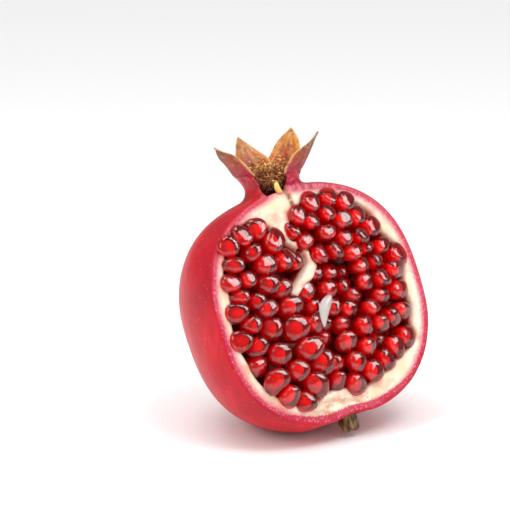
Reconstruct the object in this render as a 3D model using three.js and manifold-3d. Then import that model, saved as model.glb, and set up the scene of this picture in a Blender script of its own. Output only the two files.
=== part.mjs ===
// A cut pomegranate, resting on its back with the cut face towards -Y and the crown up.
// Millimetres, +Z up. The face frame has X along the face, Y into the fruit and Z up the face,
// with its origin in the middle of the uncut body. The stalk frame is the face frame rolled about Y.
import * as THREE from "three";
import { mergeVertices } from "three/addons/utils/BufferGeometryUtils.js";
import Module from "manifold-3d";

const wasm = await Module();
wasm.setup();

// ---- Driving dimensions ----
const BODY = { radius: 47.2, halfHeight: 45.6, squareness: 2.42, ribs: 6, ribDepth: 0.45 };
const LEAN = THREE.MathUtils.degToRad(21);
const ROLL = THREE.MathUtils.degToRad(7.7);
const FLAT_DEPTH = 1.5;
const CUT = { front: 12.4, pocketBack: 0.4, frontReach: 30 };
const STALK_LINE = { x: -2.2, y: -5.4 };
const DIMPLE = { depth: 3.2, radius: 8.5 };
const CROWN = { base: 46.2, lean: 5.4, roll: 11.2, neck: 10, tubeTop: 7.5, wall: 3.6, lipWall: 2 };
const TEAR = { turn: -117, floor: -3, footLeft: 3, mouthLeft: 8.6, footRight: 3.2, mouthRight: 6.4 };
const SEPAL = { thickness: 1.7, hollow: 1.5 };
const STUB = { length: 7.6, radius: 3.5 };
const ARIL = { plump: 0.66, halfLength: 6.8, proud: 4.2 };
const GAP = 0.3;
const FACE_MIDDLE = new THREE.Vector2(1.2, 1.5);

// The pocket that holds the arils, as its outline on the face, measured from the face's middle.
const POCKET = [
  [-40, 27], [-35, 31.5], [-27, 34.5], [-20, 34], [-13, 29.5], [-8.5, 23], [-5, 18.5], [-4.5, 13.5],
  [-9, 8.5], [-14.5, 3.5], [-13, 1.5], [-8, 6.5], [-3.5, 9.5], [-1.5, 14], [-2.5, 19.5], [-7, 23.5],
  [-9.5, 27.5], [-7, 33], [-2, 39], [6, 41.5], [15, 40], [23, 36.5], [30, 30], [34, 21.5],
  [40.5, 15], [40.5, 7], [38, 0], [39.5, -8], [38, -15], [39.5, -20], [34, -24.5], [28, -27.5],
  [22, -31], [14, -35], [8, -38.5], [1, -35.5], [-6, -37], [-14, -40], [-23, -37.5], [-30, -32],
  [-37, -26.5], [-40.5, -19], [-43, -11], [-44, -3], [-43, 5], [-44.5, 13], [-42, 20],
];

// Each chamber's arils as [x, z, width], in reading order on the face.
const CHAMBERS = {
  upper_left: [
    [-36, 25, 8], [-28, 29, 9.5], [-21, 31, 8.5], [-15.5, 26, 10], [-34, 19.5, 8], [-26, 22.5, 8.5],
    [-38.5, 12.5, 10], [-29, 13, 7.5], [-20.5, 17, 9], [-12, 18.5, 9.5], [-7.8, 15.5, 8],
    [-21.5, 9.5, 9.5], [-15.5, 6, 9],
  ],
  left: [
    [-35, 6.5, 9], [-27, 4, 8], [-39, 0, 10], [-31.5, -3.5, 9], [-24, -0.5, 9], [-38.5, -11, 9],
    [-32, -14, 9], [-23, -8, 10], [-34, -21, 9.5],
  ],
  lower_left: [
    [-13.5, -2, 10], [-13, -10, 11], [-5, -9, 7.5], [-22, -18, 9.5], [-9.5, -18, 10], [-25, -27.5, 10],
    [-15.5, -25, 9.5], [-5, -24, 10], [-21.5, -33, 8], [-9.5, -31, 10], [-14, -36, 8],
  ],
  bottom: [
    [1, -25.5, 8.5], [1, -31, 7.5], [8.5, -34, 8.5], [10, -25.5, 9.5], [17, -29.5, 8], [24, -26, 8],
    [16.5, -20, 9], [7.5, -17.5, 9.5], [22.5, -18.5, 7.5],
  ],
  lower_right: [
    [28.5, -21.5, 8.5], [34.5, -19, 8.5], [7.5, -10.5, 9], [16.5, -12.5, 9], [24.5, -12, 8],
    [30, -11, 8], [34, -8.5, 7], [12, -5.5, 7.5], [21, -6.5, 8.5],
  ],
  right: [
    [15, -0.5, 10], [26.5, -2, 9.5], [34.5, -0.5, 9.5], [28.5, 5.5, 9], [34, 7, 8], [37, 11.5, 8.5],
    [20, 10.5, 9], [27, 11, 7.5], [31.5, 16, 8], [18.5, 4.5, 8],
  ],
  upper_right: [
    [-3, 33, 8], [3.5, 37, 9], [11.5, 37.5, 7.5], [17.5, 35, 7.5], [3, 31.5, 8], [10.5, 32.5, 8.5],
    [17, 30, 9.5], [23.5, 30, 8.5], [29, 25.5, 8.5], [-6, 27.5, 6.5], [-1, 24.5, 8], [8.5, 25.5, 9],
    [16, 23, 8.5], [23.5, 22.5, 8], [3, 18.5, 8.5], [10.5, 17.5, 8.5], [18.5, 16.5, 8.5],
    [25.5, 17.5, 8],
  ],
  middle: [
    [-5, 4, 10], [0.5, 11, 8], [5, 9.5, 8], [12, 8.5, 8], [3.5, 3, 9], [11, 3.5, 7.5], [-3, -2.5, 7],
    [4.5, -4, 7.5], [0, -14, 7.5], [1, -9.5, 6],
  ],
};

// ---- Materials ----
const material = (color, roughness) => new THREE.MeshStandardMaterial({ color, roughness, metalness: 0 });
const skin = material(0xa81830, 0.35);
const arilFlesh = material(0x9c0614, 0.12);
const driedCalyx = material(0xb8713a, 0.7);
const filament = material(0x9a6a35, 0.8);
const freshStyle = material(0xe5ad2c, 0.5);
const membrane = material(0xf2eee6, 0.5);
const bark = material(0x6b4a26, 0.85);

// ---- Solids ----

/** Closed skin over a stack of rings that turn left-handed round the way they travel. */
function loft(rings) {
  const count = rings[0].length;
  const ends = [rings[0], rings.at(-1)].map((ring) =>
    ring.reduce((sum, p) => sum.add(p), new THREE.Vector3()).divideScalar(count),
  );
  const points = [...rings.flat(), ...ends];
  const [first, last] = [points.length - 2, points.length - 1];
  const top = (rings.length - 1) * count;
  const faces = [];
  for (let j = 0; j < count; j++) {
    const k = (j + 1) % count;
    faces.push(first, k, j, last, top + j, top + k);
    for (let i = 0; i < rings.length - 1; i++) {
      const [a, b] = [i * count, (i + 1) * count];
      faces.push(a + j, a + k, b + k, a + j, b + k, b + j);
    }
  }
  return new THREE.BufferGeometry().setFromPoints(points).setIndex(faces);
}

/** A ring of points made by a function of the angle round it. */
function ringOf(count, place) {
  return Array.from({ length: count }, (_, j) => place((j / count) * 2 * Math.PI));
}

/** A round ring of one radius at one height. */
function circle(count, radius, height) {
  return ringOf(count, (a) => new THREE.Vector3(radius * Math.cos(a), radius * Math.sin(a), height));
}

function toSolid(geometry) {
  const bare = geometry.clone();
  bare.deleteAttribute("normal");
  bare.deleteAttribute("uv");
  const merged = mergeVertices(bare, 1e-4);
  return new wasm.Manifold(
    new wasm.Mesh({
      numProp: 3,
      vertProperties: merged.attributes.position.array,
      triVerts: new Uint32Array(merged.index.array),
    }),
  );
}

function toGeometry(solid) {
  const mesh = solid.getMesh();
  const geometry = new THREE.BufferGeometry();
  geometry.setAttribute("position", new THREE.BufferAttribute(mesh.vertProperties, 3));
  geometry.setIndex(new THREE.BufferAttribute(mesh.triVerts, 1));
  geometry.computeVertexNormals();
  return geometry;
}

const union = (solids) => solids.reduce((all, next) => all.add(next));

// ---- Frames inside the face frame ----
const stalkFrame = new THREE.Matrix4().makeRotationY(-ROLL);
const crownFrame = stalkFrame
  .clone()
  .multiply(new THREE.Matrix4().makeTranslation(STALK_LINE.x, STALK_LINE.y, CROWN.base))
  .multiply(new THREE.Matrix4().makeRotationY(THREE.MathUtils.degToRad(CROWN.roll)))
  .multiply(new THREE.Matrix4().makeRotationX(THREE.MathUtils.degToRad(CROWN.lean)));

// ---- The rind: peel, pith and calyx tube, grown as one piece ----

/** A point of the uncut body, from its angle off the lower pole and its angle round the stalk line. */
function bodyPoint(polar, around) {
  const power = 2 / BODY.squareness;
  const upper = Math.sign(-Math.cos(polar));
  const rib = 1 + (BODY.ribDepth / BODY.radius) * Math.cos(BODY.ribs * around) * Math.sin(polar);
  const r = BODY.radius * rib * Math.sin(polar) ** power;
  const p = new THREE.Vector3(r * Math.cos(around), r * Math.sin(around), 0);
  p.z = upper * BODY.halfHeight * Math.abs(Math.cos(polar)) ** power;
  const off = Math.hypot(p.x - STALK_LINE.x, p.y - STALK_LINE.y) / DIMPLE.radius;
  if (upper < 0) p.z += DIMPLE.depth * Math.exp(-off * off);
  return p;
}

function bodySolid(rings = 25, count = 50) {
  const stack = [];
  for (let i = 1; i < rings; i++)
    stack.push(ringOf(count, (around) => bodyPoint((i / rings) * Math.PI, around)));
  return toSolid(loft(stack).applyMatrix4(stalkFrame));
}

/** Outer radius of the calyx tube at a height above its neck: a broad foot, a neck and a flare. */
function tubeRadius(height) {
  const rise = Math.max(0, height);
  return CROWN.neck + 6 * Math.exp(-(height + 7.5) / 2.2) + 0.22 * rise + 0.034 * rise ** 2;
}

/** Inner radius of the tube, whose wall thins towards its lip and closes into a round floor. */
function boreRadius(height) {
  const share = THREE.MathUtils.clamp(height / CROWN.tubeTop, 0, 1);
  const wall = THREE.MathUtils.lerp(CROWN.wall, CROWN.lipWall, share);
  return tubeRadius(Math.max(height, 1)) - wall - (height < 0 ? -1.1 * height : 0);
}

function tubeSolid(count = 40) {
  const outside = [-7.5, -5.5, -3.5, -1.5, 1, 4, 6.5, CROWN.tubeTop];
  return toSolid(loft(outside.map((z) => circle(count, tubeRadius(z), z))).applyMatrix4(crownFrame));
}

function boreSolid(count = 32) {
  const heights = [-2, -1, 1, 4, 6.5, CROWN.tubeTop, CROWN.tubeTop + 1];
  return toSolid(loft(heights.map((z) => circle(count, boreRadius(z), z))).applyMatrix4(crownFrame));
}

/** The gap that the missing calyx lobe leaves: a wedge that widens from the floor of the tube. */
function tornWedge() {
  const shape = new THREE.Shape([
    new THREE.Vector2(-TEAR.footLeft, TEAR.floor),
    new THREE.Vector2(TEAR.footRight, TEAR.floor),
    new THREE.Vector2(TEAR.mouthRight, CROWN.tubeTop + 2),
    new THREE.Vector2(-TEAR.mouthLeft, CROWN.tubeTop + 2),
  ]);
  const wedge = new THREE.ExtrudeGeometry(shape, { depth: 30, bevelEnabled: false });
  wedge.rotateX(Math.PI / 2).rotateZ(THREE.MathUtils.degToRad(TEAR.turn + 90));
  return toSolid(wedge.applyMatrix4(crownFrame));
}

/** A prism over the pocket's outline, drawn in or out by inset, between two depths. */
function pocketPrism(inset, front, back) {
  const curve = new THREE.SplineCurve([...POCKET, POCKET[0]].map(([x, z]) => new THREE.Vector2(x, z)));
  const line = curve.getPoints(Math.round(1.25 * POCKET.length)).slice(0, -1);
  const shape = new THREE.Shape(
    line.map((p, i) => {
      const before = line.at(i - 1);
      const after = line[(i + 1) % line.length];
      const inward = new THREE.Vector2(before.y - after.y, after.x - before.x).normalize();
      return p.clone().addScaledVector(inward, -inset).add(FACE_MIDDLE);
    }),
  );
  const prism = new THREE.ExtrudeGeometry(shape, { depth: back - front, bevelEnabled: false });
  return toSolid(prism.rotateX(Math.PI / 2).translate(0, back, 0));
}

/** Everything in front of a depth, as a block. */
function blockInFrontOf(y) {
  return toSolid(new THREE.BoxGeometry(200, 100, 240).translate(0, y - 50, 0));
}

/** Everything under the resting surface, as a block in the face frame. */
function blockUnderFloor(toFace) {
  return toSolid(new THREE.BoxGeometry(240, 240, 60).translate(0, 0, -30).applyMatrix4(toFace));
}

// ---- Small grown pieces ----

/** A pointed leaf that starts upright at the origin and curls towards +X, hollow side to -X. */
function leafGeometry({ length, width, thickness, curl, hollow, side = 5, steps = 7 }) {
  const rings = [];
  for (let i = 0; i <= steps; i++) {
    const s = i / steps;
    const breadth = (width / 2) * (1 - s) ** 0.62 * (1 + 0.55 * s) + 0.12;
    const thick = thickness * (1 - 0.75 * s) + 0.08;
    const bend = curl * s;
    const spine = new THREE.Vector3(
      ((1 - Math.cos(bend)) / curl) * length,
      0,
      (Math.sin(bend) / curl) * length,
    );
    rings.push(
      ringOf(2 * side, (a) => {
        const across = breadth * Math.cos(a);
        const out = (thick / 2) * Math.sin(a) - hollow * (1 - s) * (across / breadth) ** 2;
        return new THREE.Vector3(out * Math.cos(bend), across, -out * Math.sin(bend)).add(spine);
      }),
    );
  }
  return loft(rings.map((ring) => ring.toReversed()));
}

/** Woody stub: a short faceted rod that widens at its broken end. */
function stubSolid(grow) {
  const rings = [-2, 0, 2.5, 5, 7, STUB.length].map((down, i, all) =>
    ringOf(12, (a) => {
      const knot = 1 + 0.09 * Math.cos(5 * a + 0.4 * i) + (i > 3 ? 0.1 : 0) - (i === all.length - 1 ? 0.25 : 0);
      const r = STUB.radius * knot + grow;
      const end = i === all.length - 1 ? grow : 0;
      return new THREE.Vector3(r * Math.cos(a), -r * Math.sin(a), -down - end);
    }),
  );
  const top = -BODY.halfHeight + DIMPLE.depth + 0.6;
  return toSolid(loft(rings).translate(STALK_LINE.x + 1.4, STALK_LINE.y - 0.3, top).applyMatrix4(stalkFrame));
}

function styleSolid(grow) {
  const heights = [-1.6 - grow, 0.5, 2.5, 4.2 + grow];
  const rings = heights.map((z, i) =>
    circle(8, [1.7, 1.5, 1.2, 0.9][i] + grow, z).map((p) => p.add(new THREE.Vector3(0.2 * z - 0.8, -1.9, 0))),
  );
  return toSolid(loft(rings).applyMatrix4(crownFrame));
}

function tuftSolid() {
  const rings = [-0.8, 1, 4, 6.5, 8.5, 9.5].map((z, i) =>
    ringOf(18, (a) => {
      const lump = 1 + 0.05 * Math.sin(5 * a + 2 * i);
      const r = (boreRadius(Math.min(z, 7)) - 0.9) * lump * (i === 5 ? 0.6 : 1);
      return new THREE.Vector3(r * Math.cos(a), r * Math.sin(a), z);
    }),
  );
  return toSolid(loft(rings).applyMatrix4(crownFrame))
    .subtract(tornWedge().intersect(blockInFrontOf(-CUT.front)))
    .subtract(styleSolid(GAP));
}

function flapSolid(grow) {
  const size = { length: 12.4 + 2 * grow, width: 6 + 3 * grow, thickness: 1 + 2 * grow };
  const leaf = leafGeometry({ ...size, curl: 0.5, hollow: 0.4 });
  leaf.translate(0, 0, -grow).rotateZ(-Math.PI / 2).rotateY(Math.PI + 0.48).rotateX(0.1);
  return toSolid(leaf.translate(1.1 + FACE_MIDDLE.x, -CUT.front - 1.8, 0.3 + FACE_MIDDLE.y));
}

// ---- Arils ----

/** One aril as a plump faceted seed, its head proud of the face and its root leaning outwards. */
function arilSolid([x, z, width]) {
  const half = width * ARIL.plump;
  const seed = new THREE.SphereGeometry(1, 6, 5).rotateY(x + z).scale(half, ARIL.halfLength, half);
  seed.rotateX(-z * 0.006).rotateZ(-x * 0.006);
  return toSolid(seed.translate(x + FACE_MIDDLE.x, ARIL.halfLength - CUT.front - ARIL.proud, z + FACE_MIDDLE.y));
}

/** The part of an aril that its neighbours from other chambers leave it. */
function squeezed(aril, chamber) {
  let solid = arilSolid(aril);
  for (const [other, arils] of Object.entries(CHAMBERS)) {
    if (other === chamber) continue;
    for (const [x, z, width] of arils) {
      const away = new THREE.Vector2(aril[0] - x, aril[1] - z);
      const distance = away.length();
      if (distance > ARIL.plump * (width + aril[2]) + 1) continue;
      away.normalize();
      const share = (distance * width) / (width + aril[2]) + GAP / 2;
      const offset = away.dot(new THREE.Vector2(x, z).add(FACE_MIDDLE)) + share;
      solid = solid.trimByPlane([away.x, 0, away.y], offset);
    }
  }
  return solid;
}

function arilCluster(chamber, room, flap) {
  const seeds = CHAMBERS[chamber].map((aril) => squeezed(aril, chamber));
  return union(seeds).intersect(room).subtract(flap);
}

// ---- Assembly ----
function named(name, geometry, finish) {
  const mesh = new THREE.Mesh(geometry, finish);
  mesh.name = name;
  return mesh;
}

function lowestPoint(solid, toWorld) {
  const geometry = toGeometry(solid).applyMatrix4(toWorld);
  geometry.computeBoundingBox();
  return geometry.boundingBox.min.z;
}

const body = bodySolid();
const leaning = new THREE.Matrix4().makeRotationX(-LEAN);
const centreHeight = -lowestPoint(body, leaning) - FLAT_DEPTH;
const toFace = leaning.clone().setPosition(0, 0, centreHeight).invert();

const faceBlock = blockInFrontOf(-CUT.front);
const neckBlock = toSolid(new THREE.BoxGeometry(60, 60, 20).translate(0, 0, -9).applyMatrix4(crownFrame));
const tube = tubeSolid().subtract(faceBlock.intersect(neckBlock)).subtract(tornWedge());
const rind = body
  .subtract(faceBlock)
  .add(tube)
  .subtract(boreSolid())
  .subtract(pocketPrism(0, -CUT.frontReach, CUT.pocketBack))
  .subtract(stubSolid(GAP))
  .subtract(blockUnderFloor(toFace));

const fruit = new THREE.Group();
fruit.rotation.x = -LEAN;
fruit.position.z = centreHeight;
fruit.add(named("rind", toGeometry(rind), skin));

const room = pocketPrism(GAP, -CUT.frontReach, CUT.pocketBack - GAP);
const flapRoom = flapSolid(GAP);
for (const chamber of Object.keys(CHAMBERS))
  fruit.add(named("arils_" + chamber, toGeometry(arilCluster(chamber, room, flapRoom)), arilFlesh));

fruit.add(named("membrane_flap", toGeometry(flapSolid(0)), membrane));
fruit.add(named("stem_stub", toGeometry(stubSolid(0)), bark));
fruit.add(named("stamens", toGeometry(tuftSolid()), filament));
fruit.add(named("style", toGeometry(styleSolid(0)), freshStyle));

// The four calyx lobes that the cut leaves: each lobe's angle round the crown, its size, and how far
// its foot leans out and its length curls over, in radians.
const LOBES = {
  right: { turn: -46, length: 14, width: 13, tilt: 0.38, curl: 0.2 },
  back: { turn: 32, length: 19, width: 13, tilt: 0.34, curl: 0.15 },
  back_left: { turn: 104, length: 14, width: 13, tilt: 0.12, curl: 0.05 },
  left: { turn: 177, length: 16, width: 13.4, tilt: 0.45, curl: 0.45 },
};
const crown = new THREE.Group();
crown.applyMatrix4(crownFrame);
for (const [name, { turn, tilt, ...size }] of Object.entries(LOBES)) {
  const leaf = leafGeometry({ ...SEPAL, ...size });
  leaf.rotateY(tilt).translate(tubeRadius(CROWN.tubeTop) - CROWN.lipWall / 2, 0, 0);
  const sepal = named("sepal_" + name, toGeometry(toSolid(leaf)), driedCalyx);
  sepal.position.z = CROWN.tubeTop + 1.2;
  sepal.rotation.z = THREE.MathUtils.degToRad(turn);
  crown.add(sepal);
}
fruit.add(crown);

// The part's origin is the middle of its footprint box, on the resting surface.
const group = new THREE.Group();
group.add(fruit);
const middle = new THREE.Box3().setFromObject(group, true).getCenter(new THREE.Vector3());
fruit.position.x -= middle.x;
fruit.position.y -= middle.y;

export default group;
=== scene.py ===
"""A cut pomegranate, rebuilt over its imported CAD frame.

The script loads the frame, then builds every visible piece of the fruit as fine mesh work:

* the rind (peel, pith and calyx tube) from one distance field, meshed by a surface net;
* the arils as individually squeezed seeds, one object for each chamber, with pale pips inside;
* the calyx lobes, the stamens, the style, the stalk stub and a torn flap of membrane.

Shapes are worked out in the face frame, in millimetres: X runs along the cut face, Y into the
fruit and Z up the face, with the origin in the middle of the uncut body. `FaceFrame.to_world`
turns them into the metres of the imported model.
"""

from __future__ import annotations

import logging
import math
from dataclasses import dataclass, field
from enum import Enum
from typing import Callable, Sequence

import bpy
import numpy as np
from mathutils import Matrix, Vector


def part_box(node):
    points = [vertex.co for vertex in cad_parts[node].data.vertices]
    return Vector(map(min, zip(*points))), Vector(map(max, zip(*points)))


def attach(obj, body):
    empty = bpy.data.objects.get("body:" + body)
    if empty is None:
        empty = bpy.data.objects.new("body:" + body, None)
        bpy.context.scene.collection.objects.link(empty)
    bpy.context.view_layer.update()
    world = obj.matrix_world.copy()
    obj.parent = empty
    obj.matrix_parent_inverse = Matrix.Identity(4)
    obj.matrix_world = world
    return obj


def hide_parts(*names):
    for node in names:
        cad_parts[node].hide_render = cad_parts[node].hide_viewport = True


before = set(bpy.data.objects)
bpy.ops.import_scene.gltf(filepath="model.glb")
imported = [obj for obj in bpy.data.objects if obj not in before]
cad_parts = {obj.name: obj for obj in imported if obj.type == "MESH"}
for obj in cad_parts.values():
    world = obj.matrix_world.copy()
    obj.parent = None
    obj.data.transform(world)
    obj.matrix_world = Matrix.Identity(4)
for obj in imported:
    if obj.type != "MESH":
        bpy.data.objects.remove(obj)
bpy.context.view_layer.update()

logging.basicConfig(level=logging.INFO, format="%(name)s: %(message)s")
log = logging.getLogger("pomegranate")

MM = 0.001
SEED = 20
Array = np.ndarray


# ---------------------------------------------------------------- sizes


@dataclass(frozen=True)
class BodySize:
    """The uncut body: a squarish spheroid with faint ribs and a dimple at the stalk.

    Args:
        radius, half_height: its extents, in millimetres.
        squareness: power of the norm; 2 is an ellipsoid, higher is squarer.
        ribs, rib_depth: how many ribs it has, and how far they stand out.
        dent: depth of the slow dents over the whole skin.
        dimple_depth, dimple_radius: the hollow round the stalk.
        stalk_x, stalk_y: where the stalk leaves the body, in the stalk frame.
        stain_z: height of the middle of the stain round the stalk.
    """

    radius: float = 47.2
    half_height: float = 45.6
    squareness: float = 2.42
    ribs: int = 6
    rib_depth: float = 0.45
    dent: float = 0.35
    dimple_depth: float = 3.2
    dimple_radius: float = 8.5
    stalk_x: float = -2.2
    stalk_y: float = -5.4
    stain_z: float = -44.0


@dataclass(frozen=True)
class CrownSize:
    """The calyx tube on its own axis, which leans off the stalk line.

    Args:
        base: height of the neck over the body's middle, in millimetres.
        lean, roll: turns of the axis off the stalk line.
        neck: outer radius at the neck.
        spread, flare: how the radius grows with height and with its square.
        sag: how far the axis bends sideways, by the square of the height.
        root: how deep the tube reaches under the neck.
        tube_top: height of the lip, which rises and falls by `notch` between the lobes.
        wall, lip_wall: thickness at the neck and at the lip.
        bore_floor, style_mound: bottom of the bore, and the rise in it under the style.
        tear_turn: angle round the tube of the tear's middle.
        tear_floor: height of the tear's floor.
        tear_left, tear_right: half widths of the tear at its floor.
        tear_left_slope, tear_right_slope: how they grow with height.
        fray, fine_fray: unevenness of the tear's sides.
    """

    base: float = 46.2
    lean: float = math.radians(5.4)
    roll: float = math.radians(11.2)
    neck: float = 9.9
    spread: float = 0.24
    flare: float = 0.036
    sag: float = 0.036
    root: float = 9.0
    tube_top: float = 6.4
    notch: float = 0.6
    wall: float = 3.6
    lip_wall: float = 2.0
    bore_floor: float = -2.8
    style_mound: float = 2.6
    tear_turn: float = math.radians(-117)
    tear_floor: float = -3.1
    tear_left: float = 2.9
    tear_left_slope: float = 0.50
    tear_right: float = 3.4
    tear_right_slope: float = 0.30
    fray: float = 0.30
    fine_fray: float = 0.15


@dataclass(frozen=True)
class CutSize:
    """The cut face and the pocket in it.

    Args:
        front: the knife's plane, in front of the body's middle, in millimetres.
        wave, ripple: heights of the face's slow and quick unevenness.
        ridge: how far the pith between the upper chambers stands up.
        pocket_back: back of the pocket.
        middle_x, middle_z: the face's middle, from which places on it are counted.
        flat_depth: how much is cut off underneath for the flat spot.
    """

    front: float = -12.4
    wave: float = 0.30
    ripple: float = 0.15
    ridge: float = 1.7
    pocket_back: float = -3.9
    middle_x: float = 1.2
    middle_z: float = 1.5
    flat_depth: float = 1.5


BODY = BodySize()
CROWN = CrownSize()
CUT = CutSize()
LEAN = math.radians(21)
ROLL = math.radians(7.7)

# The outline of the pocket on the face, from the face's middle.
POCKET = (
    (-38, 25.5), (-34, 29.5), (-28, 32), (-21, 31.5), (-15.5, 27), (-10.5, 21.5), (-6, 18), (-5.5, 13.5),
    (-9.5, 8.5), (-14.5, 3.5), (-13, 1.5), (-7, 6.0), (-2.2, 9.2), (0.0, 14), (-1.2, 19.8), (-6.2, 23.8),
    (-9.5, 27.5), (-7, 32), (-3, 36.5), (5, 39), (13.5, 38.5), (21.5, 35.5), (28.5, 29.5), (32.5, 21.5),
    (39, 15), (40, 7), (38, 0), (39.5, -8), (38, -15), (39, -20), (34, -24.5), (28, -27.5),
    (22, -31), (14, -34.5), (7.5, -37), (1, -34.5), (-7, -35.5), (-15, -38.5), (-24, -36.5),
    (-31, -31.5), (-36, -26), (-39, -19), (-42, -11), (-42.3, -3), (-40.8, 5), (-41.8, 13), (-40, 20),
)

# Each chamber's arils as (x, z, width), in reading order on the face.
CHAMBERS = {
    "upper_left": (
        (-37, 23.5, 7.5), (-31.5, 25.5, 9), (-25, 27.5, 8.5), (-20, 23, 10.5), (-36.5, 17, 7.5),
        (-29.5, 20.5, 8.5), (-38.5, 10.5, 8.5), (-32.5, 11, 7.5), (-25, 15.5, 9.5), (-16.5, 16.5, 9.5),
        (-10.5, 15.5, 7.5), (-25, 8.5, 9.5), (-18.5, 6, 8.5),
    ),
    "left": (
        (-36.5, 5, 8), (-30.5, 2.5, 8), (-38.8, -0.5, 8.5), (-35, -5.5, 8.5), (-27.5, -0.5, 9),
        (-39, -10.5, 8), (-33.5, -13.5, 8.5), (-26.5, -8, 10.5), (-33, -20, 9),
    ),
    "lower_left": (
        (-16, -1.5, 10.5), (-16.5, -10, 12), (-8, -9, 7), (-25.5, -18, 10), (-13, -18, 11),
        (-28, -27, 10), (-19, -25, 9.5), (-8, -23.5, 10.5), (-24, -32.5, 8), (-13, -30.5, 10.5),
        (-17.5, -35.5, 8),
    ),
    "bottom": (
        (-0.5, -25, 8), (-0.5, -30, 7.5), (7, -32.5, 9), (8.5, -25.5, 10), (14.5, -29, 8.5),
        (22, -25.5, 8.5), (14.5, -20.5, 9.5), (6.5, -17.5, 9.5), (21.5, -18.5, 7.5),
    ),
    "lower_right": (
        (27.5, -21.5, 8.5), (33.5, -19, 8.5), (6.5, -11, 9), (15, -13, 9.5), (22.5, -12.5, 7.5),
        (28, -11, 8.5), (33, -9, 7), (10.5, -5.5, 8), (20.5, -6.5, 9),
    ),
    "right": (
        (14, -0.5, 10), (25.5, -2.5, 9.5), (33.5, -1, 9), (26.5, 4.5, 9.5), (32.5, 6.5, 8),
        (36, 11.5, 8.5), (19.5, 10, 9.5), (26, 10.5, 7.5), (30, 15.5, 8), (19.5, 4, 8),
    ),
    "upper_right": (
        (-4.5, 31, 8), (2, 34.5, 9), (9.5, 35.5, 7.5), (15.5, 33.5, 7.5), (-0.5, 29, 8), (7, 31, 9),
        (13, 28, 10), (20.5, 28, 8.5), (25.5, 23.5, 9), (-8, 26, 6.5), (-4, 22.5, 8.5), (5, 24.5, 9),
        (12.5, 21, 9), (20, 21, 8.5), (1, 17, 8.5), (7.5, 17.5, 8.5), (15.5, 16, 8.5), (23.5, 16.5, 8),
    ),
    "middle": (
        (-7, 4.5, 10), (-0.5, 10.5, 8.5), (5.5, 9.5, 8), (12, 8.5, 8), (3.5, 3, 9), (10.5, 3.5, 7.5),
        (-4, -2.5, 8), (4, -4, 8), (-1, -14, 7.5), (0, -9.5, 7),
    ),
}


# ---------------------------------------------------------------- frames


def turn_x(angle: float) -> Array:
    """Matrix of a turn about X."""
    c, s = math.cos(angle), math.sin(angle)
    return np.array(((1, 0, 0), (0, c, -s), (0, s, c)))


def turn_y(angle: float) -> Array:
    """Matrix of a turn about Y."""
    c, s = math.cos(angle), math.sin(angle)
    return np.array(((c, 0, s), (0, 1, 0), (-s, 0, c)))


@dataclass(frozen=True)
class FaceFrame:
    """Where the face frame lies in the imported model.

    Args:
        origin: the body's middle in the model's frame, in millimetres.
    """

    origin: tuple[float, float, float]

    @classmethod
    def from_cad(cls) -> "FaceFrame":
        """Finds the body's middle from the rind's box and the body's own extents.

        The body is a superellipse in height and radius: each follows its sine or cosine, raised
        to 2 over the squareness. The ribs swell it by a cosine round the stalk line.

        Returns:
            The frame.
        """
        pole_gap = 0.02
        polar, around = np.meshgrid(np.linspace(pole_gap, math.pi - pole_gap, 91),
                                    np.linspace(0, 2 * math.pi, 181))
        power = 2 / BODY.squareness
        rib = 1 + BODY.rib_depth / BODY.radius * np.cos(BODY.ribs * around) * np.sin(polar)
        r = BODY.radius * rib * np.sin(polar) ** power
        z = -np.sign(np.cos(polar)) * BODY.half_height * np.abs(np.cos(polar)) ** power
        shell = np.stack((r * np.cos(around), r * np.sin(around), z), -1).reshape(-1, 3)
        world = shell @ turn_y(-ROLL).T @ turn_x(-LEAN).T
        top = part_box("rind")[1]
        return cls((
            top[0] / MM - world[:, 0].max(),
            top[1] / MM - world[:, 1].max(),
            -world[:, 2].min() - CUT.flat_depth,
        ))

    def to_world(self, points: Array) -> Array:
        """Face-frame millimetres to model metres."""
        return (points @ turn_x(-LEAN).T + np.array(self.origin)) * MM

    def height(self, y: Array, z: Array) -> Array:
        """Height over the resting surface of face-frame points, in millimetres."""
        return z * math.cos(LEAN) - y * math.sin(LEAN) + self.origin[2]


def to_stalk(x: Array, y: Array, z: Array) -> tuple[Array, Array, Array]:
    """Face frame to stalk frame: rolled so that the stalk line is upright."""
    c, s = math.cos(ROLL), math.sin(ROLL)
    return x * c + z * s, y, z * c - x * s


CROWN_TURN = turn_y(-ROLL) @ turn_y(CROWN.roll) @ turn_x(CROWN.lean)
CROWN_FOOT = turn_y(-ROLL) @ np.array((BODY.stalk_x, BODY.stalk_y, CROWN.base))


def to_crown(x: Array, y: Array, z: Array) -> tuple[Array, Array, Array]:
    """Face frame to crown frame: origin at the neck, Z up the calyx tube.

    Args:
        x, y, z: face-frame millimetres.

    Returns:
        The three crown-frame coordinates.
    """
    dx, dy, dz = x - CROWN_FOOT[0], y - CROWN_FOOT[1], z - CROWN_FOOT[2]
    m = CROWN_TURN
    return (
        dx * m[0, 0] + dy * m[1, 0] + dz * m[2, 0],
        dx * m[0, 1] + dy * m[1, 1] + dz * m[2, 1],
        dx * m[0, 2] + dy * m[1, 2] + dz * m[2, 2],
    )


def from_crown(points: Array) -> Array:
    """Crown-frame points to the face frame."""
    return points @ CROWN_TURN.T + CROWN_FOOT


def from_stalk(points: Array) -> Array:
    """Stalk-frame points to the face frame."""
    return points @ turn_y(-ROLL).T


# ---------------------------------------------------------------- mesh tools


def smooth_min(a: Array, b: Array, width: float) -> Array:
    """The smaller of two distances, with the crease between them rounded over a width."""
    h = np.clip(0.5 + 0.5 * (b - a) / width, 0, 1)
    return b + (a - b) * h - width * h * (1 - h)


def smooth_max(a: Array, b: Array, width: float) -> Array:
    """The larger of two distances, with the crease between them rounded over a width."""
    return -smooth_min(-a, -b, width)


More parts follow.
